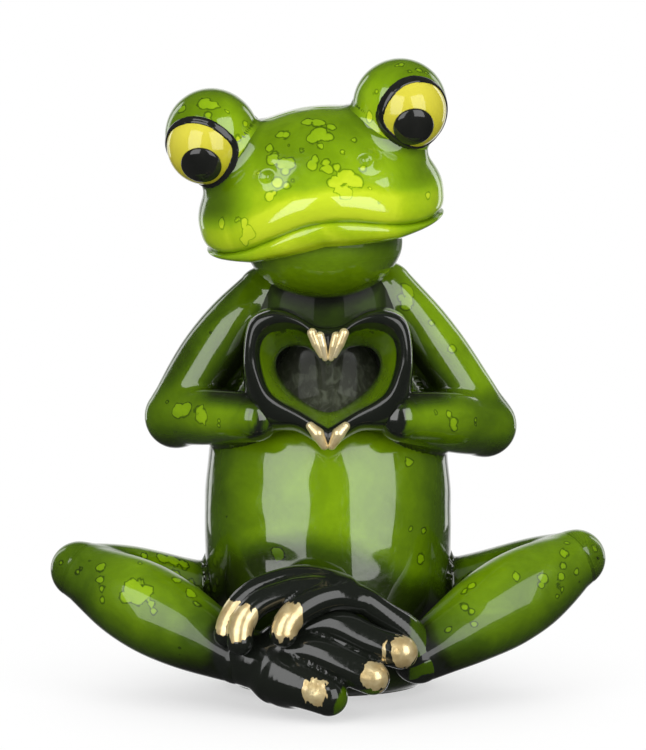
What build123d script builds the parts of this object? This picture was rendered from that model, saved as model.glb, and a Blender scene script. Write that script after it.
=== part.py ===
from build123d import *
import os

# Seated frog figurine: cross-legged, fingers and thumbs joined in a heart in front of the chest,
# head tipped to one side. A cast and painted ornament that stands on its flat underside.
# X runs to the viewer's right, the frog faces -Y and Z is up. Left and right are the frog's own.
# Lengths are in millimetres and angles in degrees.

# Torso: a full belly that narrows to the shoulders, flat underneath
torso_height = 57.5
belly_width = 32.4
belly_depth = 28.6
# height, width, depth and setback of each section
torso_section_shares = (
    (0.00, 0.80, 0.72, 0.04),
    (0.05, 0.93, 0.88, 0.02),
    (0.16, 1.00, 0.98, -0.01),
    (0.32, 1.01, 1.00, -0.03),
    (0.47, 0.98, 0.98, -0.03),
    (0.60, 0.85, 0.84, 0.01),
    (0.72, 0.73, 0.64, 0.06),
    (0.84, 0.70, 0.53, 0.09),
    (0.94, 0.64, 0.45, 0.09),
    (1.00, 0.44, 0.32, 0.09),
)

# Head: a wide flat muzzle rising to a narrow crown, tipped over and nodded forward
head_width = 32.2
head_depth = 25.0
head_height = 16.2
neck_rise = 5.1
head_advance = 3.5
head_shift = 0.45
head_roll = 9.5
head_pitch = 8.0
skull_section_shares = (
    (0.00, 0.968, 0.960, -0.040),
    (0.10, 1.000, 1.000, -0.044),
    (0.26, 0.985, 0.984, -0.028),
    (0.43, 0.915, 0.880, 0.008),
    (0.62, 0.815, 0.750, 0.040),
    (0.80, 0.690, 0.620, 0.055),
    (0.93, 0.520, 0.450, 0.060),
    (1.00, 0.300, 0.270, 0.060),
)

# Nostrils: shallow dimples high on the muzzle
nostril_spacing = 13.2
nostril_advance = 8.0
nostril_rise = 9.4
nostril_radius = 1.0

# Mouth: its line arches up over the lower lip in front
mouth_width = 30.0
mouth_arch_height = 3.3

# Lower jaw: the rolled lower lip, seated against the skull along the mouth
jaw_height = 3.3
jaw_section_shares = (
    (0.00, 0.955, 0.940, -0.044),
    (0.35, 0.975, 0.960, -0.048),
    (0.72, 0.905, 0.890, -0.036),
    (1.00, 0.770, 0.760, -0.020),
)

# Throat: the pouch between jaw and chest
throat_width = 20.8
throat_depth = 18.4
throat_height = 9.6
throat_sink = 4.4
throat_advance = 4.2
throat_section_shares = (
    (0.00, 0.30, 0.30, -0.04),
    (0.06, 0.52, 0.50, -0.02),
    (0.26, 0.84, 0.82, 0.00),
    (0.52, 0.99, 0.98, 0.00),
    (0.80, 1.00, 1.00, 0.00),
    (1.00, 0.96, 0.96, 0.00),
)

# Eyes: round lids sunk in the skull, each with a bulging eye, a raised outline and a raised pupil
lid_radius = 6.25
eye_spacing = 24.6
eye_rise = 14.45
eye_setback = 0.5
eyeball_radius = 5.15
eyeball_advance = 2.4
gaze_side_share = 0.46
gaze_drop_share = 0.34
outline_thickness = 1.1
pupil_radius = 3.75
pupil_height = 0.35
pupil_side_share = 0.13
pupil_drop_share = 0.24

# Limbs swell most at this share of their length
limb_middle_share = 0.40

# Arms: upper arms hang out to the elbows, forearms come forward and in to the hands
shoulder_spread = 16.6
shoulder_height = 53.3
shoulder_setback = 2.8
right_elbow_reach = 20.1
right_elbow_height = 36.3
left_elbow_reach = 20.8
left_elbow_height = 35.4
elbow_setback = 1.2
wrist_spread = 20.6
wrist_height = 37.0
wrist_advance = 9.0
shoulder_radius = 3.3
upper_arm_radius = 3.8
elbow_radius = 3.7
wrist_radius = 2.9
forearm_middle_share = 0.30
# The crook is closed by a web that slopes back from the upper arm to the body
web_reach = 9.0
web_front = 2.2
web_slope_depth = 4.0
web_back = 3.2
# A ledge runs along the top of the forearm
ledge_radius = 0.9
ledge_start_spread = 39.6
ledge_start_advance = 2.7
ledge_start_height = 39.0
ledge_end_spread = 22.4
ledge_end_advance = 10.6
ledge_end_height = 40.1

# Hands: thick-walled halves of a heart, closed behind by the chest
hands_width = 22.6
hands_top = 52.9
hands_bottom = 33.4
hands_front = 15.6
hands_depth = 11.0
hand_rim_fillet = 0.8
heart_floor_share = 0.70
# Across and up from the lowest point of the thumbs, walked from the top of the centre line
hand_outline_shares = (
    (0.00, 0.850),
    (0.15, 0.925),
    (0.48, 1.000),
    (0.82, 0.950),
    (0.98, 0.780),
    (1.00, 0.500),
    (0.94, 0.260),
    (0.70, 0.130),
    (0.42, 0.180),
    (0.21, 0.135),
    (0.00, 0.000),
)
heart_outline_shares = (
    (0.00, 0.640),
    (0.16, 0.800),
    (0.42, 0.885),
    (0.66, 0.835),
    (0.80, 0.650),
    (0.76, 0.460),
    (0.56, 0.330),
    (0.24, 0.250),
    (0.00, 0.195),
)
heart_middle_share = 0.50
cut_overrun = 1.0

# Painted fingertips: two fingers and a thumb on each hand, proud of the hand's front
finger_radius = 0.62
thumb_radius = 0.95
tip_sink = 0.15
# Start and end across and up, as in the outlines above
outer_finger_shares = ((0.205, 0.825), (0.095, 0.680))
inner_finger_shares = ((0.105, 0.820), (0.048, 0.665))
thumb_shares = ((0.200, 0.200), (0.082, 0.065))

# Legs: thighs run out to the knees, shins come forward and down to the crossed feet
hip_spread = 22.0
hip_height = 11.2
hip_setback = 3.5
knee_reach = 32.7
right_knee_height = 16.1
left_knee_height = 17.8
knee_advance = 7.5
ankle_reach = 11.8
ankle_height = 7.2
ankle_advance = 19.0
hip_radius = 5.0
thigh_radius = 4.8
knee_radius = 4.4
right_calf_radius = 5.9
left_calf_radius = 5.4
ankle_radius = 3.6

# Feet: the left foot arches over the right one, three round toes each
feet_width = 28.0
feet_depth = 11.0
feet_height = 19.2
feet_advance = 17.6
sole_radius = 4.5
instep_radius = 2.9
toe_radius = 2.1
toe_root_share = 1.10
toe_cap_share = 1.10
# Places across, forward and up, as shares of the feet's width, depth and height
right_sole_shares = (-0.165, 0.340, 0.290)
left_instep_shares = (0.020, 0.270, 0.800)
# Each toe: its thickness as a share of the toe radius, then its root, knuckle and end
right_toe_shares = (
    (1.08, (-0.120, 0.180, 0.600), (0.080, 0.420, 0.560), (0.300, 0.580, 0.480)),
    (1.05, (-0.220, 0.260, 0.440), (-0.030, 0.560, 0.380), (0.150, 0.700, 0.270)),
    (1.10, (-0.260, 0.320, 0.290), (-0.130, 0.600, 0.245), (-0.020, 0.710, 0.170)),
)
left_toe_shares = (
    (0.80, (-0.030, 0.170, 0.920), (-0.350, 0.200, 0.835), (-0.475, 0.310, 0.610)),
    (0.82, (0.020, 0.310, 0.870), (-0.295, 0.440, 0.800), (-0.397, 0.600, 0.575)),
    (0.92, (0.090, 0.330, 0.800), (-0.089, 0.540, 0.785), (-0.196, 0.690, 0.640)),
)


def section_faces(base, height, width, depth, shares):
    """Ellipses for a loft, their places and sizes being shares of height, width and depth."""
    faces = []
    for rise, across, along, setback in shares:
        with BuildSketch(base.offset(rise * height)) as section:
            with Locations((0, setback * depth)):
                Ellipse(across * width / 2, along * depth / 2)
        faces.append(section.sketch)
    return faces


def along_limb(start, end):
    """Plane through a limb's axis, its X running from start to end."""
    span = end - start
    return Plane(origin=start, x_dir=span, z_dir=span.cross(Vector(0, 0, 1)))


def spindle(start, end, start_radius, middle_radius, end_radius, middle_share=limb_middle_share):
    """Round limb with domed ends, turned about the line from start to end."""
    reach = (end - start).length
    with BuildPart() as limb:
        with BuildSketch(along_limb(start, end)):
            with BuildLine():
                first_dome = CenterArc((0, 0), start_radius, 90, 90)
                Spline(
                    (0, start_radius),
                    (reach * middle_share, middle_radius),
                    (reach, end_radius),
                    tangents=((1, 0), (1, 0)),
                )
                second_dome = CenterArc((reach, 0), end_radius, 0, 90)
                Line(second_dome @ 0, first_dome @ 1)
            make_face()
        revolve(axis=Axis(start, end - start))
    return limb.part


def toe(root, knuckle, end, radius):
    """Toe bent at the knuckle, with a flat end that carries its painted cap."""
    reach = (end - knuckle).length
    root_radius = radius * toe_root_share
    with BuildPart() as digit:
        with BuildSketch(along_limb(knuckle, end)):
            with BuildLine():
                dome = CenterArc((0, 0), root_radius, 90, 90)
                Polyline(dome @ 0, (reach, radius), (reach, 0), dome @ 1)
            make_face()
        revolve(axis=Axis(knuckle, end - knuckle))
        add(spindle(root, knuckle, root_radius, root_radius, radius))
    return digit.part


def toe_cap(knuckle, end, radius):
    """Domed tip of a toe, seated flat on its end."""
    seat = along_limb(knuckle, end)
    length = radius * toe_cap_share
    with BuildPart() as cap:
        with BuildSketch(Plane(origin=end, x_dir=seat.x_dir, z_dir=seat.z_dir)):
            with BuildLine():
                EllipticalCenterArc((0, 0), length, radius, start_angle=0, arc_size=90)
                Polyline((0, radius), (0, 0), (length, 0))
            make_face()
        revolve(axis=Axis(end, end - knuckle))
    return cap.part


def foot_points(shares):
    """Places of a foot's joints from shares of the crossed feet's width, depth and height."""
    return [
        Vector(across * feet_width, -feet_advance - forward * feet_depth, up * feet_height)
        for across, forward, up in shares
    ]


def seat_in(*neighbours):
    """Cut the seats of the pieces that a casting rests against."""
    for neighbour in neighbours:
        add(neighbour.part, mode=Mode.SUBTRACT)


sides = {"right": -1, "left": 1}

# Torso, with its flat underside on the ground
with BuildPart() as torso:
    loft(section_faces(Plane.XY, torso_height, belly_width, belly_depth, torso_section_shares))

# Head, in its own tipped plane along the mouth
head_seat = Vector(-head_shift, -head_advance, torso_height + neck_rise)
mouth_plane = Plane(origin=head_seat).rotated((head_pitch, -head_roll, 0))
jaw_plane = Plane(origin=head_seat, x_dir=mouth_plane.x_dir, z_dir=-mouth_plane.z_dir)
ahead = -mouth_plane.y_dir
lid_centres = {}
gazes = {}
pupil_gazes = {}
for name, side in sides.items():
    lid_centres[name] = mouth_plane.from_local_coords(
        Vector(side * eye_spacing / 2, eye_setback, eye_rise)
    )
    gazes[name] = (
        ahead
        + mouth_plane.x_dir * (side * gaze_side_share)
        - mouth_plane.z_dir * gaze_drop_share
    ).normalized()
    pupil_gazes[name] = (
        ahead
        + mouth_plane.x_dir * (side * pupil_side_share)
        - mouth_plane.z_dir * pupil_drop_share
    ).normalized()

eyes = {}
lids = {}
outlines = {}
pupils = {}
for name in sides:
    eye_centre = lid_centres[name] + gazes[name] * eyeball_advance
    with BuildPart() as eye:
        with Locations(eye_centre):
            Sphere(eyeball_radius)
    eyes[name] = eye
    with BuildPart() as lid:
        with Locations(lid_centres[name]):
            Sphere(lid_radius)
        seat_in(eye)
    lids[name] = lid
    with BuildPart() as pupil:
        with Locations(eye_centre + pupil_gazes[name] * (eyeball_radius + pupil_height - pupil_radius)):
            Sphere(pupil_radius)
        seat_in(eye)
    pupils[name] = pupil
    # The outline runs along the circle where eyeball and lid meet
    rim_distance = (
        eyeball_advance**2 + lid_radius**2 - eyeball_radius**2
    ) / (2 * eyeball_advance)
    rim_radius = (lid_radius**2 - rim_distance**2) ** 0.5
    with BuildPart() as outline:
        with BuildSketch(along_limb(lid_centres[name], eye_centre)):
            with Locations((rim_distance, rim_radius)):
                Circle(outline_thickness / 2)
            Circle(lid_radius, mode=Mode.SUBTRACT)
            with Locations((eyeball_advance, 0)):
                Circle(eyeball_radius, mode=Mode.SUBTRACT)
        revolve(axis=Axis(lid_centres[name], gazes[name]))
    outlines[name] = outline

# The skull stops at the arched line of the mouth, and the jaw fills the arch
with BuildPart() as arch_block:
    with BuildSketch(Plane(origin=head_seat, x_dir=mouth_plane.x_dir, z_dir=ahead)):
        with BuildLine():
            arch = Spline(
                (-mouth_width / 2, 0),
                (-mouth_width / 4, mouth_arch_height / 2),
                (0, mouth_arch_height),
                (mouth_width / 4, mouth_arch_height / 2),
                (mouth_width / 2, 0),
                tangents=((1, 0), (1, 0)),
            )
            Line(arch @ 1, arch @ 0)
        make_face()
    extrude(amount=head_depth)
with BuildPart() as mouth_arch:
    loft(section_faces(mouth_plane, head_height, head_width, head_depth, skull_section_shares))
    add(arch_block.part, mode=Mode.INTERSECT)

with BuildPart() as skull:
    loft(section_faces(mouth_plane, head_height, head_width, head_depth, skull_section_shares))
    seat_in(mouth_arch)
    for side in sides.values():
        nostril = Vector(side * nostril_spacing / 2, -nostril_advance, nostril_rise)
        with Locations(mouth_plane.from_local_coords(nostril)):
            Sphere(nostril_radius, mode=Mode.SUBTRACT)
    seat_in(*lids.values(), *eyes.values(), *outlines.values(), *pupils.values())

with BuildPart() as lower_jaw:
    loft(section_faces(jaw_plane, jaw_height, head_width, head_depth, jaw_section_shares))
    add(mouth_arch.part)

with BuildPart() as throat:
    throat_base = Plane.XY.offset(torso_height - throat_sink).move(
        Location((-head_shift, -throat_advance, 0))
    )
    loft(section_faces(throat_base, throat_height, throat_width, throat_depth, throat_section_shares))
    seat_in(torso, lower_jaw, skull)

# Arms and hands
elbow_reaches = {"right": right_elbow_reach, "left": left_elbow_reach}
elbow_heights = {"right": right_elbow_height, "left": left_elbow_height}
arms = {}
hands = {}
fingertips = {}
hands_height = hands_top - hands_bottom
hands_plane = Plane(
    origin=(0, -hands_front, hands_bottom), x_dir=(1, 0, 0), z_dir=(0, 1, 0)
)


def outline_points(shares, side, scale=1.0):
    """Points of a half outline, scaled about the middle of the heart."""
    middle = hands_height * heart_middle_share
    return [
        (
            side * across * hands_width / 2 * scale,
            -(middle + (rise * hands_height - middle) * scale),
        )
        for across, rise in shares
    ]


def heart_section(depth):
    """Outline of the opening in the heart at a depth behind the hands' front."""
    scale = 1 + (heart_floor_share - 1) * depth / hands_depth
    with BuildSketch(hands_plane.offset(depth)) as opening:
        with BuildLine():
            Spline(*outline_points(heart_outline_shares, 1, scale))
            Spline(*outline_points(heart_outline_shares, -1, scale))
        make_face()
    return opening.sketch


for name, side in sides.items():
    shoulder = Vector(side * shoulder_spread / 2, shoulder_setback, shoulder_height)
    elbow = Vector(side * elbow_reaches[name], elbow_setback, elbow_heights[name])
    wrist = Vector(side * wrist_spread / 2, -wrist_advance, wrist_height)
    ledge_start = Vector(side * ledge_start_spread / 2, -ledge_start_advance, ledge_start_height)
    ledge_end = Vector(side * ledge_end_spread / 2, -ledge_end_advance, ledge_end_height)
    with BuildPart() as web:
        with BuildSketch(Plane(origin=shoulder, x_dir=(0, 1, 0), z_dir=elbow - shoulder)):
            with BuildLine():
                Polyline(
                    (-web_front, 0),
                    (web_slope_depth - web_front, -side * web_reach),
                    (web_back, -side * web_reach),
                    (web_back, 0),
                    close=True,
                )
            make_face()
        extrude(amount=(elbow - shoulder).length)
        split(bisect_by=Plane.XY.offset(elbow.Z), keep=Keep.TOP)
    with BuildPart() as arm:
        add(spindle(shoulder, elbow, shoulder_radius, upper_arm_radius, elbow_radius))
        add(spindle(elbow, wrist, elbow_radius, elbow_radius, wrist_radius, forearm_middle_share))
        add(spindle(ledge_start, ledge_end, ledge_radius, ledge_radius, ledge_radius))
        add(web.part)
        seat_in(torso)
    arms[name] = arm

    with BuildPart() as hand:
        with BuildSketch(hands_plane):
            with BuildLine():
                rim = Spline(*outline_points(hand_outline_shares, side))
                Line(rim @ 1, rim @ 0)
            make_face()
        extrude(amount=hands_depth)
        loft([heart_section(-cut_overrun), heart_section(hands_depth + cut_overrun)], mode=Mode.SUBTRACT)
        front = hand.faces().sort_by(Axis.Y)[0]
        fillet(front.edges().sort_by(SortBy.LENGTH)[-1], hand_rim_fillet)
        seat_in(torso, arm, throat)
    hands[name] = hand

    with BuildPart() as tips:
        for shares, radius in (
            (outer_finger_shares, finger_radius),
            (inner_finger_shares, finger_radius),
            (thumb_shares, thumb_radius),
        ):
            start, end = (
                hands_plane.from_local_coords(Vector(x, y, tip_sink))
                for x, y in outline_points(shares, side)
            )
            add(spindle(start, end, radius, radius, radius / 2))
        split(bisect_by=hands_plane, keep=Keep.BOTTOM)
    fingertips[name] = tips

# Legs
knee_heights = {"right": right_knee_height, "left": left_knee_height}
calf_radii = {"right": right_calf_radius, "left": left_calf_radius}
ankles = {}
thighs = {}
shins = {}
for name, side in sides.items():
    hip = Vector(side * hip_spread / 2, hip_setback, hip_height)
    knee = Vector(side * knee_reach, -knee_advance, knee_heights[name])
    ankle = Vector(side * ankle_reach, -ankle_advance, ankle_height)
    with BuildPart() as thigh:
        add(spindle(hip, knee, hip_radius, thigh_radius, knee_radius))
        seat_in(torso)
    thighs[name] = thigh
    ankles[name] = ankle
    with BuildPart() as shin:
        add(spindle(knee, ankle, knee_radius, calf_radii[name], ankle_radius))
        seat_in(torso, thigh)
    shins[name] = shin

# Feet, the right one below the left one
with BuildPart() as right_foot:
    add(spindle(ankles["right"], *foot_points([right_sole_shares]), ankle_radius, sole_radius, sole_radius))
    for size, *places in right_toe_shares:
        add(toe(*foot_points(places), size * toe_radius))
    split(bisect_by=Plane.XY, keep=Keep.TOP)
    seat_in(torso, *shins.values())
with BuildPart() as right_toe_caps:
    for size, root, *places in right_toe_shares:
        add(toe_cap(*foot_points(places), size * toe_radius))
    split(bisect_by=Plane.XY, keep=Keep.TOP)
    seat_in(torso, *shins.values(), right_foot)
with BuildPart() as left_foot:
    add(spindle(ankles["left"], *foot_points([left_instep_shares]), ankle_radius, ankle_radius, instep_radius))
    for size, *places in left_toe_shares:
        add(toe(*foot_points(places), size * toe_radius))
    seat_in(torso, *shins.values(), right_foot, right_toe_caps)
with BuildPart() as left_toe_caps:
    for size, root, *places in left_toe_shares:
        add(toe_cap(*foot_points(places), size * toe_radius))
    seat_in(torso, *shins.values(), right_foot, right_toe_caps, left_foot)

pieces = {
    "torso": torso,
    "throat": throat,
    "lower_jaw": lower_jaw,
    "skull": skull,
    "right_foot": right_foot,
    "left_foot": left_foot,
    "right_toe_caps": right_toe_caps,
    "left_toe_caps": left_toe_caps,
}
for name in sides:
    pieces[name + "_eyelid"] = lids[name]
    pieces[name + "_eyeball"] = eyes[name]
    pieces[name + "_eye_outline"] = outlines[name]
    pieces[name + "_pupil"] = pupils[name]
    pieces[name + "_arm"] = arms[name]
    pieces[name + "_hand"] = hands[name]
    pieces[name + "_fingertips"] = fingertips[name]
    pieces[name + "_thigh"] = thighs[name]
    pieces[name + "_shin"] = shins[name]

# The origin is on the ground under the middle of the figure
boxes = [piece.part.bounding_box() for piece in pieces.values()]
middle_x = (min(box.min.X for box in boxes) + max(box.max.X for box in boxes)) / 2
middle_y = (min(box.min.Y for box in boxes) + max(box.max.Y for box in boxes)) / 2
to_middle = Location((-middle_x, -middle_y, 0))
os.makedirs("parts", exist_ok=True)
for name, piece in pieces.items():
    piece.part.label = name
    piece.part.move(to_middle)
    export_step(piece.part, "parts/" + name + ".step")
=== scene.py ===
"""Seated frog figurine, cast and painted: cross-legged, hands joined in a heart, head tipped over.

Sizes are in millimetres until a mesh is written. X runs to the viewer's right, the frog faces -Y and
Z is up. Right and left are the frog's own. Most skins are found by walking rays out of a form's middle
until a shared field of smoothly joined forms is zero, so neighbouring pieces meet without a step. Jaw,
hands, pupils and eye outlines are profiles carried along a path.
"""

import bpy
import numpy as np
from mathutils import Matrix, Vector


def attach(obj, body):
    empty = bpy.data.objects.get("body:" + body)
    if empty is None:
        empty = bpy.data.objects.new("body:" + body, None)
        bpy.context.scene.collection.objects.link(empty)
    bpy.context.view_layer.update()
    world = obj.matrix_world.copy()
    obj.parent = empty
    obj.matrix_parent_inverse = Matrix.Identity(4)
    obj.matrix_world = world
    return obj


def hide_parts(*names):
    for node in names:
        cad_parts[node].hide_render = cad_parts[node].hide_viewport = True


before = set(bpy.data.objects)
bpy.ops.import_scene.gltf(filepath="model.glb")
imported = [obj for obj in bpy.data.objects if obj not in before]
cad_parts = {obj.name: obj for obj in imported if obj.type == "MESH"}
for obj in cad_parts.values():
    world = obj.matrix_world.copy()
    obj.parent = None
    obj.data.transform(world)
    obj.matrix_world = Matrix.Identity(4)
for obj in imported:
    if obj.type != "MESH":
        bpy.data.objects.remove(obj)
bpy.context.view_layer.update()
MM = 0.001
SIDES = {"right": -1.0, "left": 1.0}

# The photograph's frame: its scale, where the base's middle lies in it, and how it looks down a little
FRAME_WIDTH, FRAME_HEIGHT = 646, 750
PIXELS_PER_MM = 7.57
BASE_PIXEL = (328, 714)
RISE_SHARE = 0.9925
DEPTH_SHARE = 0.1219
FRONT_DEPTH = 16.7

# Curves and fields


def unit(v):
    """Vector of length one along v."""
    v = np.asarray(v, float)
    return v / np.linalg.norm(v)


def curve(x, knots, values):
    """Natural cubic spline through the knots, held at its end values beyond them."""
    knots = np.asarray(knots, float)
    values = np.asarray(values, float)
    n = len(knots)
    step = np.diff(knots)
    system = np.eye(n)
    right = np.zeros((n,) + values.shape[1:])
    inner = np.arange(1, n - 1)
    system[inner, inner - 1] = step[:-1]
    system[inner, inner] = 2 * (step[:-1] + step[1:])
    system[inner, inner + 1] = step[1:]
    slope = np.diff(values, axis=0) / step.reshape((-1,) + (1,) * (values.ndim - 1))
    right[1:-1] = 6 * np.diff(slope, axis=0)
    second = np.linalg.solve(system, right)
    x = np.clip(np.asarray(x, float), knots[0], knots[-1])
    i = np.clip(np.searchsorted(knots, x) - 1, 0, n - 2)
    h = step[i]
    u = (knots[i + 1] - x) / h
    w = (x - knots[i]) / h
    if values.ndim > 1:
        h, u, w = h[..., None], u[..., None], w[..., None]
    ends = u * values[i] + w * values[i + 1]
    return ends + ((u**3 - u) * second[i] + (w**3 - w) * second[i + 1]) * h * h / 6


def smooth(x, low, high):
    """Smooth step: 0 below low, 1 above high, 3t^2 - 2t^3 between them."""
    t = np.clip((np.asarray(x, float) - low) / (high - low), 0, 1)
    return t * t * (3 - 2 * t)


def join(a, b, k):
    """Smooth union of two distances: the smaller one, less k/4 where they are equal."""
    h = np.clip(1 - np.abs(a - b) / k, 0, 1)
    return np.minimum(a, b) - h * h * k / 4


def meet(a, b, k):
    """Smooth intersection, the same with the larger one."""
    return -join(-a, -b, k)


def limb(p, places, radii):
    """Distance to a round limb along straight runs, its radius a line between those of the places."""
    best = np.inf
    for a, b, ra, rb in zip(places[:-1], places[1:], radii[:-1], radii[1:]):
        a, b = np.asarray(a, float), np.asarray(b, float)
        run = b - a
        t = np.clip((p - a) @ run / (run @ run), 0, 1)
        best = np.minimum(best, np.linalg.norm(p - a - t[..., None] * run, axis=-1) - ra - (rb - ra) * t)
    return best


def spindle(p, a, b, radii):
    """Distance to a straight limb whose radius follows a curve through the given ones."""
    run = b - a
    t = np.clip((p - a) @ run / (run @ run), 0, 1)
    away = np.linalg.norm(p - a - t[..., None] * run, axis=-1)
    return away - curve(t, np.linspace(0, 1, len(radii)), radii)


def bend(places, radii, fine):
    """Places and radii of a limb bent on a smooth curve through the given ones, each run in fine parts."""
    knots = np.arange(len(places))
    t = np.linspace(0, len(places) - 1, fine * (len(places) - 1) + 1)
    return list(curve(t, knots, np.array(places, float))), list(curve(t, knots, radii))


# Body forms

TORSO_TOP = 57.5
TORSO_RISE = (0, 1.2, 4, 9, 18, 26, 31, 35, 39, 43, 48, 52, 55, TORSO_TOP)
TORSO_HALF_WIDTH = (12.4, 13.9, 15.2, 16.1, 16.6, 16.6, 16.2, 15.4, 13.6, 11.8, 11.2, 10.7, 9.4, 6.8)
TORSO_HALF_DEPTH = (10.0, 11.8, 13.2, 14.0, 14.0, 13.45, 12.6, 11.4, 9.7, 8.6, 7.7, 7.0, 6.2, 4.4)
TORSO_BACK = (8.2, 7.5, 6.9, 6.5, 6.5, 6.85, 7.3, 7.8, 8.7, 9.5, 9.9, 9.9, 9.9, 9.9)


def torso_field(p):
    """Stack of ellipses whose half axes and place run along the height."""
    z = p[..., 2]
    wide = curve(z, TORSO_RISE, TORSO_HALF_WIDTH)
    deep = curve(z, TORSO_RISE, TORSO_HALF_DEPTH)
    back = curve(z, TORSO_RISE, TORSO_BACK)
    rho = np.hypot(p[..., 0] / wide, (p[..., 1] - back) / deep)
    side = (rho - 1) * np.minimum(wide, deep)
    return meet(side, z - TORSO_TOP, 2.0)


HIP = {s: np.array((k * 10.5, 10.3, 11.4)) for s, k in SIDES.items()}
KNEE = {"right": np.array((-33.2, -0.2, 16.9)), "left": np.array((33.15, -0.2, 18.45))}
ANKLE = {s: np.array((k * 11.8, -11.7, 7.2)) for s, k in SIDES.items()}
SHOULDER = {"right": np.array((-8.6, 9.9, 53.0)), "left": np.array((7.9, 9.9, 53.6))}
ELBOW = {"right": np.array((-20.4, 7.9, 36.5)), "left": np.array((21.1, 7.9, 35.3))}
WRIST = {s: np.array((k * 9.6, -4.2, 37.9)) for s, k in SIDES.items()}

# Radii from one end of each limb to the other
THIGH = {"right": (4.7, 3.9, 4.1, 4.3, 3.65), "left": (4.7, 3.9, 3.9, 4.1, 3.7)}
SHIN = {"right": (3.65, 5.3, 5.8, 5.0, 3.5), "left": (3.7, 5.5, 5.8, 4.8, 3.4)}
UPPER_ARM = {"right": (3.7, 5.0, 5.1, 4.2), "left": (3.7, 4.6, 4.6, 4.1)}
FOREARM = {"right": (3.9, 3.8, 3.5, 3.2), "left": (4.1, 4.1, 3.7, 3.2)}

# The thin ledge along the top of each forearm
LEDGE_FINE = 3
LEDGE_RADII = (0.8, 0.9, 0.9)
LEDGE = {
    "right": bend([(-19.6, 4.6, 39.3), (-15.0, 0.4, 39.9), (-11.0, -3.4, 40.2)], LEDGE_RADII, LEDGE_FINE),
    "left": bend([(20.0, 4.6, 38.6), (15.4, 0.4, 39.6), (11.0, -3.4, 40.2)], LEDGE_RADII, LEDGE_FINE),
}

# Front and back of the web that closes the crook of the arm, how the front slopes and its cosine
WEB_FRONT = 6.6
WEB_BACK = 12.8
WEB_SLOPE = 0.45
WEB_SLOPE_COSINE = 0.91

# Feet: the sole or arch first, then its toes; the left foot arches over the right one
FOOT_FINE = 6
TOE_BLEND = 0.55
FOOT_CURVES = {
    "right": [
        ([ANKLE["right"], (-8.6, -12.8, 6.9), (-4.6, -14.2, 5.3)], (3.4, 4.0, 4.4)),
        ([(-6.5, -13.0, 9.5), (-0.2, -13.8, 12.0), (4.6, -15.2, 10.4), (9.5, -16.4, 8.8)],
         (2.6, 2.4, 2.3, 2.2)),
        ([(-6.5, -14.0, 8.0), (-2.6, -15.6, 8.8), (1.6, -16.9, 7.4), (5.8, -17.9, 5.7)],
         (2.8, 2.4, 2.35, 2.2)),
        ([(-6.5, -14.5, 5.5), (-3.4, -17.0, 4.7), (0.1, -18.3, 3.3)], (4.0, 3.1, 2.5)),
    ],
    "left": [
        ([ANKLE["left"], (10.0, -12.3, 10.7), (7.6, -12.9, 12.9), (4.4, -13.2, 15.2), (0.8, -13.3, 16.5)],
         (3.4, 2.4, 1.9, 1.75, 1.9)),
        ([(2.0, -12.8, 16.6), (-2.4, -12.4, 17.9), (-6.3, -12.3, 17.4), (-9.8, -12.7, 16.0),
          (-12.4, -13.7, 13.4), (-13.3, -14.8, 10.9)], (1.9, 1.75, 1.7, 1.65, 1.6, 1.6)),
        ([(2.0, -13.6, 16.2), (-2.0, -14.3, 16.9), (-5.8, -14.8, 16.3), (-9.1, -15.6, 15.0),
          (-11.1, -16.6, 12.7), (-11.4, -17.2, 10.3)], (1.8, 1.7, 1.7, 1.7, 1.7, 1.7)),
        ([(3.6, -13.6, 15.1), (0.8, -14.8, 15.9), (-2.5, -16.2, 15.1), (-5.0, -17.5, 13.3),
          (-5.8, -18.2, 11.6)], (1.7, 1.9, 1.95, 1.85, 1.8)),
    ],
}
FOOT_LIMBS = {s: [bend(*line, FOOT_FINE) for line in lines] for s, lines in FOOT_CURVES.items()}


def inward(p, side):
    """Distance from the line of the upper arm towards the body, in the front view."""
    a, b = SHOULDER[side], ELBOW[side]
    run = unit((b - a)[[0, 2]])
    return (p[..., [0, 2]] - a[[0, 2]]) @ (np.array((run[1], -run[0])) * SIDES[side])


def web_field(p, side):
    """Wedge that closes the crook of the arm, its front sloping back from the arm to the body."""
    e = inward(p, side)
    slope = (WEB_FRONT + WEB_SLOPE * np.clip(e, 0, 9) - p[..., 1]) * WEB_SLOPE_COSINE
    return meet(meet(slope, p[..., 1] - WEB_BACK, 1.0), meet(-e, ELBOW[side][2] - p[..., 2], 1.0), 1.0)


def forearm_field(p, side):
    """Round forearm with the ledge laid along it."""
    return join(spindle(p, ELBOW[side], WRIST[side], FOREARM[side]), limb(p, *LEDGE[side]), 0.9)


def foot_field(p, side):
    """Sole or arch with its toes, smoothly joined."""
    d = limb(p, *FOOT_LIMBS[side][0])
    for places, radii in FOOT_LIMBS[side][1:]:
        d = join(d, limb(p, places, radii), TOE_BLEND)
    return d


def part_fields(side):
    """The limbs of one side: functions of points that give the distance to each one's surface."""
    return {
        "thigh": lambda p: spindle(p, HIP[side], KNEE[side], THIGH[side]),
        "shin": lambda p: spindle(p, KNEE[side], ANKLE[side], SHIN[side]),
        "upper": lambda p: spindle(p, SHOULDER[side], ELBOW[side], UPPER_ARM[side]),
        "fore": lambda p: forearm_field(p, side),
        "web": lambda p: web_field(p, side),
        "foot": lambda p: foot_field(p, side),
    }


PARTS = {s: part_fields(s) for s in SIDES}

# Head, in its own axes: across, back and up from the middle of the mouth's base

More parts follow.
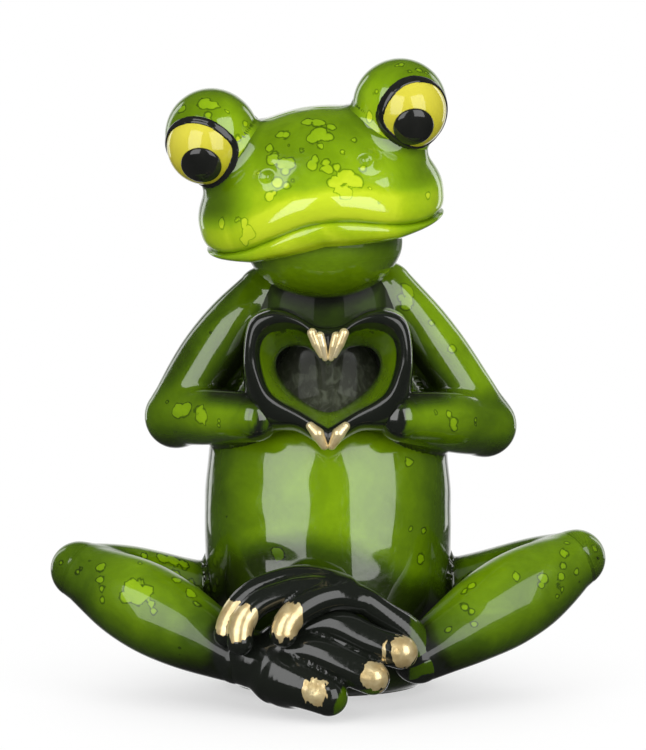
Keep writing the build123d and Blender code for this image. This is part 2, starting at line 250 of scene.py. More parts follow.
HEAD_SEAT = np.array((-0.45, 3.8, 62.6))
HEAD_AXES = np.array(((0.986, 0.0, -0.165), (-0.023, 0.990, -0.137), (0.163, 0.139, 0.977)))
LID_CENTRE = {"right": np.array((-12.7, 0.5, 14.5)), "left": np.array((12.5, 0.5, 14.38))}
GAZE = {"right": unit((-0.395, -0.845, -0.36)), "left": unit((0.37, -0.895, -0.16))}
PUPIL_AT = {"right": unit((-0.17, -0.92, -0.36)), "left": unit((0.11, -0.94, -0.32))}
LID_RADIUS = 6.25
EYE_RADIUS = 5.15
EYE_ADVANCE = 2.4


def in_head(p):
    """Places seen from the head's own axes."""
    return (p - HEAD_SEAT) @ HEAD_AXES


def from_head(h):
    """Places in the head's own axes brought back to the figurine's."""
    return HEAD_SEAT + h @ HEAD_AXES.T


SKULL_TOP = 16.0
SKULL_RISE = (-1.0, 0.0, 0.8, 2.0, 4.0, 6.5, 9.0, 11.4, 13.6, 15.1, SKULL_TOP)
SKULL_HALF_WIDTH = (14.4, 15.6, 16.1, 16.4, 16.4, 15.4, 13.9, 12.0, 9.6, 6.8, 3.6)
SKULL_FRONT = (11.0, 12.0, 12.4, 12.4, 11.9, 10.7, 9.2, 7.7, 6.0, 4.2, 2.4)
SKULL_REAR = (7.6, 8.8, 9.6, 10.7, 12.0, 12.4, 11.8, 10.4, 8.3, 6.0, 3.2)

MOUTH_ARCH = 3.3
MOUTH_HALF_WIDTH = 15.0
ARCH_FADE = 11.0
LIP_THICKNESS = 2.1
LIP_THINNING = 0.8
LIP_HALF_WIDTH = 13.9
LIP_DEPTH = 11.0
LIP_MEAN_RADIUS = 12.0
NOSTRILS = [np.array((-6.1, -7.3, 9.0)), np.array((7.0, -7.1, 9.0))]
NOSTRIL_OUT = np.array((0.0, -1.05, 0.75))
NOSTRIL_MOUND_RADIUS = 1.25
NOSTRIL_PIT_RADIUS = 0.75
THROAT_CENTRE = np.array((-0.6, 3.4, 60.6))
THROAT_HALF_AXES = np.array((10.5, 9.2, 7.6))
THROAT_MEAN_RADIUS = 8.5


def mouth_line(x, y):
    """Rise of the mouth over its base plane: an arch in front that fades towards the back."""
    arch = MOUTH_ARCH * np.cos(np.pi / 2 * np.clip(np.abs(x) / MOUTH_HALF_WIDTH, 0, 1)) ** 2
    return arch * smooth(-y, -3.0, 7.0)


def skull_field(h):
    """Stack of ellipses over the mouth line, the front half shorter than the rear one."""
    x, y, z = h[..., 0], h[..., 1], h[..., 2]
    arch = mouth_line(x, y)
    rise = z - arch * np.clip(1 - (z - arch) / ARCH_FADE, 0, 1) ** 1.5
    wide = curve(rise, SKULL_RISE, SKULL_HALF_WIDTH)
    deep = np.where(y < 0, curve(rise, SKULL_RISE, SKULL_FRONT), curve(rise, SKULL_RISE, SKULL_REAR))
    rho = np.hypot(x / wide, y / deep)
    side = (rho - 1) * np.minimum(wide, deep)
    dome = meet(meet(side, rise - SKULL_TOP, 2.0), -rise - 0.5, 1.2)
    # The upper lip is a roll laid along the mouth, thickest in the middle
    thick = LIP_THICKNESS - LIP_THINNING * np.clip(np.abs(x) / MOUTH_HALF_WIDTH, 0, 1) ** 2
    around = (np.hypot(x / LIP_HALF_WIDTH, y / LIP_DEPTH) - 1) * LIP_MEAN_RADIUS
    roll = np.hypot(around, (z - arch - thick) * 0.95) - thick * smooth(-y, -6.0, 2.0)
    d = join(dome, roll, 1.3)
    # Each nostril is a mound with a pit a little further out
    for nostril in NOSTRILS:
        d = join(d, np.linalg.norm(h - nostril, axis=-1) - NOSTRIL_MOUND_RADIUS, 1.2)
        d = meet(d, NOSTRIL_PIT_RADIUS - np.linalg.norm(h - nostril - NOSTRIL_OUT, axis=-1), 0.5)
    return d


def lid_field(h, side):
    """Ball of the eyelid mound."""
    return np.linalg.norm(h - LID_CENTRE[side], axis=-1) - LID_RADIUS


def throat_field(p):
    """Ellipsoid under the jaw."""
    q = (p - THROAT_CENTRE) / THROAT_HALF_AXES
    return (np.linalg.norm(q, axis=-1) - 1) * THROAT_MEAN_RADIUS


# Skins from rays

# Steps of a walk, share of the field's value in each, and how near a ray's foot it may end
WALK_STEPS = 26
WALK_PACE = 0.85
AXIS_CLEARANCE = 0.02
# How a skin dips under a neighbour: from this excess on, by this share of its power, at most so far
TUCK_START = 0.25
TUCK_SHARE = 0.25
TUCK_POWER = 1.5
TUCK_MOST = 0.8


def frame_of(axis):
    """The unit vector along an axis and two across it."""
    axis = unit(axis)
    side = unit(np.cross(axis, (0.0, 0.31, 1.0)))
    return axis, side, np.cross(axis, side)


def globe(axis, turn, columns):
    """Unit rays in rings: each ring turned by its angle from the axis's tail towards its head."""
    axis, u, v = frame_of(axis)
    around = np.linspace(0, 2 * np.pi, columns, endpoint=False)
    ring = np.cos(around)[:, None] * u + np.sin(around)[:, None] * v
    return -np.cos(turn)[:, None, None] * axis + np.sin(turn)[:, None, None] * ring[None]


def walk(origins, rays, field, own, first, reach):
    """Points o + t d where the field is zero: t moves by the field's value until it settles.

    Where another form is nearer than the piece's own one the skin dips below it, by a share of the
    excess, so that each stretch of surface is shown by one piece only.
    """
    t = np.broadcast_to(first, rays.shape[:-1]).astype(float)
    for _ in range(WALK_STEPS):
        t = np.clip(t - WALK_PACE * field(origins + t[..., None] * rays), AXIS_CLEARANCE, reach)
    p = origins + t[..., None] * rays
    excess = np.clip(own(p) - field(p) - TUCK_START, 0, None)
    t = t - np.clip(TUCK_SHARE * excess**TUCK_POWER, 0, TUCK_MOST)
    return origins + np.clip(t, AXIS_CLEARANCE, reach)[..., None] * rays


def around_limb(a, b, ra, rb, field, own, rows, columns, margin=1.6):
    """Rays for a limb: half a globe at each end and rings between them, poles on its axis."""
    length = np.linalg.norm(b - a)
    half_turn = np.pi * max(ra, rb)
    dome = max(6, int(rows * half_turn / 2 / (length + half_turn)))
    body = max(3, rows - 2 * dome)
    turn = np.concatenate((
        np.linspace(0, np.pi / 2, dome, endpoint=False),
        np.full(body, np.pi / 2),
        np.linspace(np.pi / 2, np.pi, dome + 1)[1:],
    ))
    share = np.concatenate((np.zeros(dome), np.linspace(0, 1, body), np.ones(dome)))
    rays = globe(b - a, turn, columns)
    origins = (a + share[:, None] * (b - a))[:, None, :] + np.zeros_like(rays)
    first = (ra + (rb - ra) * share)[:, None] + np.zeros(rays.shape[:-1])
    return walk(origins, rays, field, own, first, first * 1.05 + margin)


def around_point(centre, pole, field, own, first, reach, rows, columns):
    """Rays of a globe about a point, its poles along the given axis."""
    rays = globe(pole, np.linspace(0, np.pi, rows), columns)
    return walk(centre + np.zeros_like(rays), rays, field, own, first, reach)


# Meshes


def grid_faces(rows, columns):
    """Quads of a grid that closes round its columns, and a fan of triangles to one vertex at each end."""
    i, j = np.meshgrid(np.arange(1, rows - 2), np.arange(columns), indexing="ij")

    def at(row, column):
        """Vertex of a row between the poles."""
        return 1 + (row - 1) * columns + column % columns

    quads = np.stack((at(i, j), at(i, j + 1), at(i + 1, j + 1), at(i + 1, j)), axis=-1).reshape(-1, 4)
    c = np.arange(columns)
    first = np.stack((np.zeros(columns, int), at(1, c + 1), at(1, c)), axis=-1)
    pole = np.full(columns, 1 + (rows - 2) * columns)
    last = np.stack((pole, at(rows - 2, c), at(rows - 2, c + 1)), axis=-1)
    return quads, np.concatenate((first, last))


def ring_faces(rows, columns):
    """Quads of a grid that closes round both ways."""
    i, j = np.meshgrid(np.arange(rows), np.arange(columns), indexing="ij")
    below, beside = (i + 1) % rows, (j + 1) % columns
    corners = (i * columns + j, i * columns + beside, below * columns + beside, below * columns + j)
    return np.stack(corners, axis=-1).reshape(-1, 4)


def flatten(grid):
    """Grid values in the order of the mesh's vertices: first pole, rows between, last pole."""
    body = grid[1:-1].reshape((-1,) + grid.shape[2:])
    return np.concatenate((grid[0].mean(0)[None], body, grid[-1].mean(0)[None]))


def fan_volume(points, faces):
    """Six times the volume between the origin and triangles, negative where they face inwards."""
    corner = points[faces]
    return np.einsum("ij,ij->i", corner[:, 0], np.cross(corner[:, 1], corner[:, 2])).sum()


def enclosed(points, faces):
    """Six times the volume that quads or triangles close in."""
    volume = fan_volume(points, faces[:, :3])
    return volume if faces.shape[1] == 3 else volume + fan_volume(points, faces[:, [0, 2, 3]])


def place(name, nodes, points, groups, material, paint):
    """Object of points in millimetres and groups of faces with its paint, riding on the one body."""
    mesh = bpy.data.meshes.new(name)
    mesh.vertices.add(len(points))
    mesh.vertices.foreach_set("co", (points * MM).astype(np.float32).ravel())
    loops = np.concatenate([faces.ravel() for faces in groups])
    mesh.loops.add(len(loops))
    mesh.loops.foreach_set("vertex_index", loops.astype(np.int32))
    sizes = np.concatenate([np.full(len(faces), faces.shape[1]) for faces in groups])
    starts = np.concatenate(((0,), np.cumsum(sizes)[:-1]))
    mesh.polygons.add(len(starts))
    mesh.polygons.foreach_set("loop_start", starts.astype(np.int32))
    mesh.polygons.foreach_set("use_smooth", np.ones(len(starts), bool))
    mesh.update(calc_edges=True)
    mesh.validate()
    for key, values in paint.items():
        layer = mesh.attributes.new(key, "FLOAT", "POINT")
        layer.data.foreach_set("value", np.broadcast_to(values, len(points)).astype(np.float32))
    mesh.materials.append(material)
    piece = bpy.data.objects.new(name, mesh)
    bpy.context.scene.collection.objects.link(piece)
    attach(piece, "root")
    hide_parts(*nodes)


def build(name, nodes, grids, material, paint):
    """One mesh of closed grids, each with a pole at its first and last row, faces outward."""
    points, quads, triangles = [], [], []
    offset = 0
    for grid in grids:
        body = flatten(grid)
        four, three = grid_faces(grid.shape[0], grid.shape[1])
        if enclosed(body, four) + enclosed(body, three) < 0:
            four, three = four[:, ::-1], three[:, ::-1]
        points.append(body)
        quads.append(four + offset)
        triangles.append(three + offset)
        offset += len(body)
    points = np.concatenate(points)
    paint = paint(points) if callable(paint) else paint
    place(name, nodes, points, (np.concatenate(quads), np.concatenate(triangles)), material, paint)


# Paint: numbers on the vertices that the shaders turn into colour

NO_GOLD = -9.0
NO_SPOT = 3.0
SPECK_RADII = (0.3, 1.3)
SPECK_SPREAD = 1.1
OFF_THE_PIECE = 1.0
SAME_PLACE = 0.6


def glaze_paint(tone, black=0.0, gold=NO_GOLD, spot=NO_SPOT, **more):
    """Numbers for the glaze: tone and black from 0 to 1, gold and spot as distances in mm."""
    return {"tone": tone, "black": black, "gold": gold, "spot": spot, **more}


def near(points, x, y):
    """The foremost point at a place of the front view, given in its pixels, or None off the piece."""
    rise = RISE_SHARE * points[:, 2] + DEPTH_SHARE * (points[:, 1] + FRONT_DEPTH)
    across = BASE_PIXEL[0] + PIXELS_PER_MM * points[:, 0]
    away = np.hypot(across - x, BASE_PIXEL[1] - PIXELS_PER_MM * rise - y) / PIXELS_PER_MM
    if away.min() > OFF_THE_PIECE:
        return None
    depth = points[:, 1] * 0.99 - points[:, 2] * 0.12
    return points[np.argmin(np.where(away < away.min() + SAME_PLACE, depth, np.inf))]


def spots(points, rows):
    """Signed distance in mm to the nearest of round spots, given by place and radius in the front view."""
    d = np.full(len(points), NO_SPOT)
    for x, y, radius in rows:
        centre = near(points, x, y)
        if centre is not None:
            d = np.minimum(d, np.linalg.norm(points - centre, axis=1) - radius / PIXELS_PER_MM)
    return np.clip(d, -NO_SPOT, NO_SPOT)


def scatter(points, count, seed, where):
    """Signed distance to seeded spots in small groups, kept to the stretch that where() admits."""
    dice = np.random.default_rng(seed)
    d = np.full(len(points), NO_SPOT)
    choice = points[where(points)]
    for _ in range(count):
        centre = choice[dice.integers(len(choice))]
        for _ in range(dice.integers(1, 5)):
            offset = dice.normal(0, SPECK_SPREAD, 3)
            d = np.minimum(d, np.linalg.norm(points - centre - offset, axis=1) - dice.uniform(*SPECK_RADII))
    return np.clip(d, -NO_SPOT, NO_SPOT)


def close_to(points, *fields, reach=2.2):
    """1 where another form's surface touches, fading to 0 at the given distance; masks painted shade."""
    c = np.zeros(len(points))
    for field in fields:
        c = np.maximum(c, 1 - smooth(field(points), -0.2, reach))
    return c


def around_axis(p, a, b):
    """Unit vector from the axis of a limb out to each point."""
    t = np.clip((p - a) @ (b - a) / ((b - a) @ (b - a)), 0, 1)
    out = p - a - t[:, None] * (b - a)
    return out / np.maximum(np.linalg.norm(out, axis=1), 0.01)[:, None]


RIPPLE = np.random.default_rng(7)
# Direction and phase of each wave
WAVES = [(RIPPLE.normal(0, 1, 3), RIPPLE.uniform(0, 6.3)) for _ in range(9)]


def ripple(p, length=8.0, height=0.022):
    """Unevenness of a hand-finished casting: a sum of seeded sine waves in space."""
    total = 0
    for direction, phase in WAVES:
        total = total + np.sin(p @ (unit(direction) * 2 * np.pi / length) + phase)
        length *= 0.93
    return total * height / 3


# Shaders


class Graph:
    """Small helper that adds nodes to a material and joins them."""

    def __init__(self, name):
        self.material = bpy.data.materials.new(name)
        self.material.use_nodes = True
        self.tree = self.material.node_tree
        self.shader = self.tree.nodes["Principled BSDF"]
        self.coordinates = None

    def feed(self, socket, value):
        """Joins another node's output to a socket, or sets the number or colour."""
        if isinstance(value, bpy.types.NodeSocket):
            self.tree.links.new(value, socket)
        else:
            socket.default_value = value

    def math(self, operation, a, b=0.0):
        """Result of one operation on two values."""
        node = self.tree.nodes.new("ShaderNodeMath")
        node.operation = operation
        self.feed(node.inputs[0], a)
        self.feed(node.inputs[1], b)
        return node.outputs[0]

    def attribute(self, key):
        """Number painted on the vertices."""
        node = self.tree.nodes.new("ShaderNodeAttribute")
        node.attribute_name = key
        return node.outputs["Fac"]

    def place_on_object(self):
        """Place on the object, from one node that the whole material shares."""
        if self.coordinates is None:
            self.coordinates = self.tree.nodes.new("ShaderNodeTexCoord").outputs["Object"]
        return self.coordinates

    def noise(self, scale, detail=2.0, stretch=(1, 1, 1), distortion=0.0):
        """Noise about zero, drawn out where the stretch is below 1."""
        mapping = self.tree.nodes.new("ShaderNodeMapping")
        mapping.inputs["Scale"].default_value = stretch
        self.tree.links.new(self.place_on_object(), mapping.inputs["Vector"])
        node = self.tree.nodes.new("ShaderNodeTexNoise")
        node.inputs["Scale"].default_value = scale
        node.inputs["Detail"].default_value = detail
        node.inputs["Distortion"].default_value = distortion
        self.tree.links.new(mapping.outputs[0], node.inputs["Vector"])
        return self.math("SUBTRACT", node.outputs["Fac"], 0.5)

    def step(self, value, low, high):
        """Smooth step from 0 at low to 1 at high."""
        node = self.tree.nodes.new("ShaderNodeMapRange")
        node.interpolation_type = "SMOOTHSTEP"
        self.feed(node.inputs["Value"], value)
        node.inputs["From Min"].default_value = low
        node.inputs["From Max"].default_value = high
        return node.outputs["Result"]

    def ramp(self, value, stops):
        """Colour read off a row of stops."""
        node = self.tree.nodes.new("ShaderNodeValToRGB")
        elements = node.color_ramp.elements
        while len(elements) < len(stops):
            elements.new(0.5)
        for element, (at, color) in zip(elements, stops):
            element.position = at
            element.color = (*color, 1)
        self.feed(node.inputs["Fac"], value)
        return node.outputs["Color"]

    def mix(self, factor, a, b):
        """First colour where the factor is 0, second where it is 1."""
        node = self.tree.nodes.new("ShaderNodeMix")
        node.data_type = "RGBA"
        self.feed(node.inputs[0], factor)
        for socket, value in ((node.inputs[6], a), (node.inputs[7], b)):
            self.feed(socket, value if isinstance(value, bpy.types.NodeSocket) else (*value, 1))
        return node.outputs[2]

    def bump(self, height, distance):
        """Fine relief of the given height."""
        node = self.tree.nodes.new("ShaderNodeBump")
        node.inputs["Distance"].default_value = distance
        self.feed(node.inputs["Height"], height)
        self.tree.links.new(node.outputs["Normal"], self.shader.inputs["Normal"])


# Greens by tone, from near black for the deepest painted shade to lime for the lightest glaze and painted
# light
GREENS = (
    (0.0, (0.006, 0.009, 0.002)),
    (0.15, (0.018, 0.034, 0.001)),
    (0.33, (0.048, 0.098, 0.001)),
    (0.5, (0.105, 0.195, 0.001)),
    (0.66, (0.18, 0.32, 0.002)),
    (0.8, (0.27, 0.44, 0.005)),
    (0.92, (0.41, 0.57, 0.008)),
    (1.0, (0.55, 0.69, 0.02)),
)
BLACK = (0.010, 0.012, 0.009)
GOLD = (0.92, 0.76, 0.42)


def glaze(name, coat_ior=1.65, coat_roughness=0.04, swell=0.00014):
    """Clear green glaze from near black to lime, with spots, black paint and gold brushed over it.

    Tone runs through the greens: the glaze's own lighter and darker greens, and painted light and shade.
    Black is black paint, and black laid as painted shade in the crook of the arm. A spot is lighter
    inside and dark at its rim, where its distance with noise added is near zero. Where the surface is
    worn the coat is thin and the paint mottled.
    """
    g = Graph(name)
    worn = g.attribute("worn")
    matt = g.math("MAXIMUM", worn, g.attribute("matt"))
    cloud = g.math("MULTIPLY", g.noise(170, 4.0, distortion=0.8), 0.28)
    grain = g.math("MULTIPLY", g.noise(1400, 2.0), 0.05)
    edge = g.math("MULTIPLY", g.noise(340, 3.0, distortion=1.0), 2.2)
    spot = g.math("ADD", g.attribute("spot"), edge)
    inside = g.step(g.math("MULTIPLY", spot, -1.0), -0.05, 0.09)
    outline = g.math("SUBTRACT", 1.0, g.step(g.math("ABSOLUTE", spot), 0.01, 0.20))
    tone = g.math("ADD", g.attribute("tone"), g.math("ADD", cloud, grain))
    lift = g.math("ADD", g.math("MULTIPLY", inside, 0.19), g.math("MULTIPLY", outline, -0.25))
    color = g.ramp(g.math("ADD", tone, lift), GREENS)
    brush = g.math("MULTIPLY", g.noise(420, 3.0, (1, 1, 0.35)), 0.9)
    black = g.step(g.math("ADD", g.attribute("black"), brush), 0.42, 0.58)
    color = g.mix(black, color, BLACK)
    mottle = g.step(g.noise(900, 5.0, (1, 1, 0.5), 1.0), -0.05, 0.22)
    color = g.mix(worn, color, g.mix(mottle, (0.032, 0.036, 0.020), (0.090, 0.100, 0.068)))
    strokes = g.math("MULTIPLY", g.noise(900, 2.0, (1, 1, 0.22)), 3.2)
    gold = g.step(g.math("ADD", g.attribute("gold"), strokes), 0.0, 0.12)
    color = g.mix(gold, color, g.mix(g.step(g.noise(700, 3.0), -0.2, 0.25), (0.70, 0.52, 0.24), GOLD))
    g.feed(g.shader.inputs["Base Color"], color)
    g.feed(g.shader.inputs["Metallic"], g.math("MULTIPLY", gold, 0.6))
    rough = g.math("ADD", g.math("MULTIPLY", gold, 0.14), g.math("MULTIPLY", matt, 0.35))
    g.feed(g.shader.inputs["Roughness"], g.math("ADD", 0.16, rough))
    g.shader.inputs["Specular IOR Level"].default_value = 0.15
    g.feed(g.shader.inputs["Coat Weight"], g.math("SUBTRACT", 1.0, g.math("MULTIPLY", matt, 0.9)))
    g.shader.inputs["Coat IOR"].default_value = coat_ior
    g.shader.inputs["Coat Roughness"].default_value = coat_roughness
    waves = g.math("ADD", g.noise(330, 2.0), g.math("MULTIPLY", g.noise(1300, 4.0), 0.36))
    g.bump(waves, swell)
    return g.material


def enamel(name, stops, scale, swing, roughness=0.14, metallic=0.0):
    """Brushed enamel: a ramp over the tone with noise drawn out along the height."""
    g = Graph(name)
    tone = g.math("ADD", g.attribute("tone"), g.math("MULTIPLY", g.noise(scale, 3.0, (1, 1, 0.4)), swing))
    g.feed(g.shader.inputs["Base Color"], g.ramp(tone, stops))
    g.shader.inputs["Metallic"].default_value = metallic
    g.shader.inputs["Roughness"].default_value = roughness
    g.shader.inputs["Specular IOR Level"].default_value = 0.15
    g.shader.inputs["Coat Weight"].default_value = 1.0
    g.shader.inputs["Coat Roughness"].default_value = 0.03
    g.bump(g.noise(700, 2.0), 0.00006)
    return g.material


YELLOWS = ((0.0, (0.36, 0.33, 0.01)), (0.4, (0.54, 0.49, 0.015)), (1.0, (0.66, 0.60, 0.06)))
BLACKS = ((0.0, (0.006, 0.007, 0.006)), (1.0, (0.020, 0.020, 0.018)))
GOLDS = ((0.0, (0.62, 0.44, 0.19)), (0.5, GOLD), (1.0, (0.97, 0.86, 0.58)))

body_glaze = glaze("body_glaze")
head_glaze = glaze("head_glaze")
hand_glaze = glaze("hand_glaze", coat_ior=1.5, coat_roughness=0.12, swell=0.0001)
foot_glaze = glaze("foot_glaze", coat_ior=1.5, coat_roughness=0.10, swell=0.00007)
cap_glaze = glaze("cap_glaze", coat_ior=1.5)
eye_yellow = enamel("eye_yellow", YELLOWS, scale=300, swing=0.5)
eye_black = enamel("eye_black", BLACKS, scale=500, swing=1.2)
gold_paint = enamel("gold_paint", GOLDS, scale=900, swing=1.4, roughness=0.3, metallic=0.6)

# Torso: rays out of the upright axis, closed by a flat underside and a domed top

TORSO_COLUMNS = 330
UNDERSIDE_ROWS, SIDE_ROWS, DOME_ROWS = 14, 250, 6
# Here and below, a spot is its place across and down the photograph and its radius, in pixels
TORSO_SPOTS = ((275, 555, 7), (414, 533, 2.5), (429, 532, 2), (426, 560, 3.5), (412, 462, 5), (222, 520, 2))


def body_form(p):
    """Field of torso, thighs and upper arms together."""
    d = torso_field(p)
    for s in SIDES:
        d = join(d, PARTS[s]["thigh"](p), 1.0)
        d = join(d, PARTS[s]["upper"](p), 1.2)
    return d + ripple(p)


def torso_skin():
    """Rings about the upright axis, growing from a point in the underside and shrinking to one on top."""
    rise = np.concatenate((
        np.zeros(UNDERSIDE_ROWS),
        np.linspace(0, TORSO_TOP - 0.5, SIDE_ROWS),
        np.linspace(TORSO_TOP - 0.45, TORSO_TOP - 0.05, DOME_ROWS),
    ))
    share = np.concatenate((
        np.linspace(0, 1, UNDERSIDE_ROWS),
        np.ones(SIDE_ROWS),
        np.linspace(0.9, 0.0, DOME_ROWS),
    ))
    around = np.linspace(0, 2 * np.pi, TORSO_COLUMNS, endpoint=False)
    ring = np.stack((np.cos(around), np.sin(around), np.zeros_like(around)), axis=-1)
    rays = ring + np.zeros((len(rise), 1, 3))
    axis = np.stack((np.zeros_like(rise), curve(rise, TORSO_RISE, TORSO_BACK), rise), axis=-1)
    origins = axis[:, None, :] + np.zeros_like(rays)
    skin = walk(origins, rays, body_form, torso_field, 10.0, 17.5)
    return origins + (skin - origins) * share[:, None, None]


def torso_paint(p):
    """Painted light down the belly's middle, painted shade by limbs, hands and feet, black in the heart."""
    x, y, z = p.T
    aside = np.abs(x)
    front = smooth(-(y - 7.5), -3.0, 8.0)
    # Painted light down the middle of the belly; painted shade towards its sides and low in front
    belly = np.exp(-((x / 10.5) ** 2)) * smooth(z, 5, 16) * (1 - smooth(z, 38, 45))
    tone = 0.42 + 0.24 * front * belly
    tone = tone - 0.20 * smooth(aside, 10, 17) - 0.30 * (1 - smooth(z, 1, 11)) * front
    # Darker up the chest; below that, painted shadow of the hands on the chest behind them
    tone = tone - 0.30 * smooth(z, 44, 51) * front
    tone = tone - 0.20 * smooth(z, 35, 37) * (1 - smooth(z, 38, 44)) * front
    # Painted shade in the creases by thighs, arms and throat, and painted shade and reflection of the feet
    # on the lower belly
    crease_shade = close_to(p, *[PARTS[s][key] for s in SIDES for key in ("thigh", "upper")], throat_field)
    before = np.stack((x, np.full(len(p), -13.5), z - 0.8), axis=-1)
    feet_shade_and_reflection = close_to(before, *[PARTS[s]["foot"] for s in SIDES], reach=4.0) * front
    tone = tone - 0.26 * crease_shade - 0.42 * feet_shade_and_reflection
    heart = smooth(-y, -5.0, -3.0) * smooth(z, 35, 37) * (1 - smooth(z, 48, 49.5))
    heart = heart * (1 - smooth(aside, 8.5, 10))
    worn = smooth(-y, -3.4, -1.6) * smooth(z, 37.5, 39) * (1 - smooth(z, 47.5, 49))
    worn = worn * (1 - smooth(aside, 7.5, 9))
    chest = smooth(z, 47.5, 49.5) * smooth(7.5 - y, -2, 2)
    below = (1 - smooth(z, 8, 17)) * front
    back = scatter(p, 26, 3, lambda q: (q[:, 1] > 9) & (q[:, 2] > 6))
    return glaze_paint(
        tone,
        black=0.85 * heart + 0.35 * smooth(z, 46, 50) * front,
        spot=np.minimum(back, spots(p, TORSO_SPOTS)),
        worn=0.95 * worn,
        matt=chest + 0.5 * below,
    )


build("belly_and_back", ["torso"], [torso_skin()], body_glaze, torso_paint)

# Legs and arms

LEG_SPOTS = {
    "right": (
        (74, 571, 4.5), (99, 562, 5.5), (98, 575, 4), (98, 588, 3), (97, 600, 2.4), (130, 582, 10),
        (137, 592, 10), (126, 592, 7), (150, 584, 5.5), (151, 597, 3), (153, 605, 2.5), (55, 563, 1.6),
        (162, 557, 7), (172, 558, 8), (182, 562, 6), (207, 565, 4.5), (143, 553, 4), (178, 575, 4.5),
        (193, 588, 5), (199, 597, 4), (179, 650, 2), (179, 656, 1.4), (88, 556, 2),
    ),
    "left": (
        (567, 550, 5), (566, 562, 5), (565, 574, 4), (563, 586, 3), (562, 596, 2.4), (545, 574, 3.6),
        (544, 584, 3), (514, 570, 3), (582, 571, 3), (584, 583, 2.4), (600, 548, 3), (603, 558, 2.4),
        (463, 600, 3.4), (470, 604, 3.4), (475, 618, 2.4), (446, 622, 1.6), (436, 589, 5), (442, 585, 5),
        (462, 585, 4), (469, 580, 4.5), (445, 559, 5), (424, 582, 3.4), (430, 576, 3.4), (570, 539, 1.8),
    ),
}
ARM_SPOTS = {
    "right": (
        (172, 408, 7), (180, 407, 6), (198, 414, 8), (194, 408, 5), (215, 423, 2), (215, 429, 2),
        (160, 400, 3), (205, 330, 2),
    ),
    "left": (
        (458, 348, 4.6), (454, 413, 3.6), (459, 424, 4.4), (459, 431, 4), (481, 419, 2), (481, 426, 2),
        (411, 286, 8), (412, 298, 7), (405, 292, 5), (437, 320, 3), (440, 410, 2),
    ),
}
# Seeds of the spots scattered on the back of the limbs
SEEDS = {"thigh": 21, "shin": 22, "right": 11, "left": 12}


def whole_leg(p, side):
    """Field of thigh and shin together."""
    return join(PARTS[side]["thigh"](p), PARTS[side]["shin"](p), 0.7)


def arm_form(p, side):
    """Field of an arm, its web and the torso together."""
    d = join(PARTS[side]["upper"](p), PARTS[side]["fore"](p), 1.0)
    d = join(d, PARTS[side]["web"](p), 1.2)
    return join(d, torso_field(p), 1.2) + ripple(p)


def leg_paint(side, key):
    """Paint of a thigh or shin: lit along its top, painted shade below and in creases, dark to the foot."""
    hip, knee, ankle = HIP[side], KNEE[side], ANKLE[side]
    thigh = key == "thigh"
    others = [torso_field] if thigh else [PARTS[s]["foot"] for s in SIDES]
    others.append(PARTS[side]["shin" if thigh else "thigh"])

    def paint(p):
        """Numbers for the glaze at each point."""
        if thigh:
            # Painted shade towards the hip; the left thigh darker all over
            tone = 0.38 - 0.12 * smooth(-np.abs(p[:, 0]), -18, -10) - (0.14 if side == "left" else 0.0)
            black = 0.0
        else:
            share = np.clip((p - knee) @ (ankle - knee) / ((ankle - knee) @ (ankle - knee)), 0, 1)
            near_foot = share - (0.0 if side == "right" else 0.04)
            tone = 0.40 + 0.05 * smooth(share, 0.1, 0.4) - 0.28 * smooth(near_foot, 0.58, 0.95)
            black = 0.62 * smooth(near_foot, 0.68, 1.02)
        facing = around_axis(p, hip if thigh else ankle, knee)
        # Painted light on the upper front of the limb, painted shade on its underside
        tone = tone + 0.08 * smooth(facing[:, 2] - 0.4 * facing[:, 1], 0.0, 0.9)
        tone = tone - 0.24 * smooth(-facing[:, 2], 0.0, 0.9)
        # Painted shade in the creases away from the knee, and the right knee darker
        off_knee = smooth(np.linalg.norm(p - knee, axis=1), 5.0, 9.0)
        tone = tone - 0.26 * close_to(p, *others, reach=1.8) * off_knee
        tone = tone - (0.10 if side == "right" else 0.0) * (1 - off_knee)
        back = scatter(p, 9, SEEDS[key], lambda q: q[:, 1] > 3)
        spot = np.minimum(back, spots(p, LEG_SPOTS[side]))
        return glaze_paint(tone, black=black, spot=spot, matt=0.0 if thigh else 0.45)

    return paint


def arm_paint(side):
    """Paint of an arm: painted shade in the crook and by the chest, darker and black towards the hands.

    The left upper arm has painted light along its outer side, the right one painted shade there.
    """

    def paint(p):
        """Numbers for the glaze at each point."""
        x, y, z = p.T
        e = inward(p, side)
        fore = 1 - smooth(z, 38.5, 41.5)
        front = smooth(-y, -12.5, -8.0)
        facing = around_axis(p, ELBOW[side], WRIST[side])
        # Painted light along the outer side of the left upper arm, painted shade along that of the right
        rim = 0.18 * smooth(-e, 0.0, 3.0) if side == "left" else -0.16 * smooth(-e, 2.0, 4.0)
        # Painted shade deep in the crook of the upper arm
        upper = 0.43 - 0.48 * smooth(e, -0.6, 2.4) * front + rim
        # Forearm: darker at the elbow and the wrist, painted shade underneath and by the torso, darker on
        # top
        lower = 0.58 - 0.20 * smooth(np.abs(x), 15, 23) - 0.20 * smooth(-np.abs(x), -13, -8.5)
        lower = lower - 0.26 * smooth(-facing[:, 2], 0.0, 0.9) - 0.10 * smooth(facing[:, 2], 0.3, 1.0)
        tone = upper + (lower - upper) * fore - 0.22 * close_to(p, torso_field, reach=1.6) * fore
        black = 0.55 * smooth(-np.abs(x), -13.5, -9.0) * fore
        # Black laid deep in the crook of the upper arm as painted shade
        black = black + 0.25 * smooth(e, 3.0, 6.0) * (1 - fore) * front
        back = scatter(p, 7, SEEDS[side], lambda q: q[:, 1] > 10)
        return glaze_paint(tone, black=black, spot=np.minimum(back, spots(p, ARM_SPOTS[side])))

    return paint


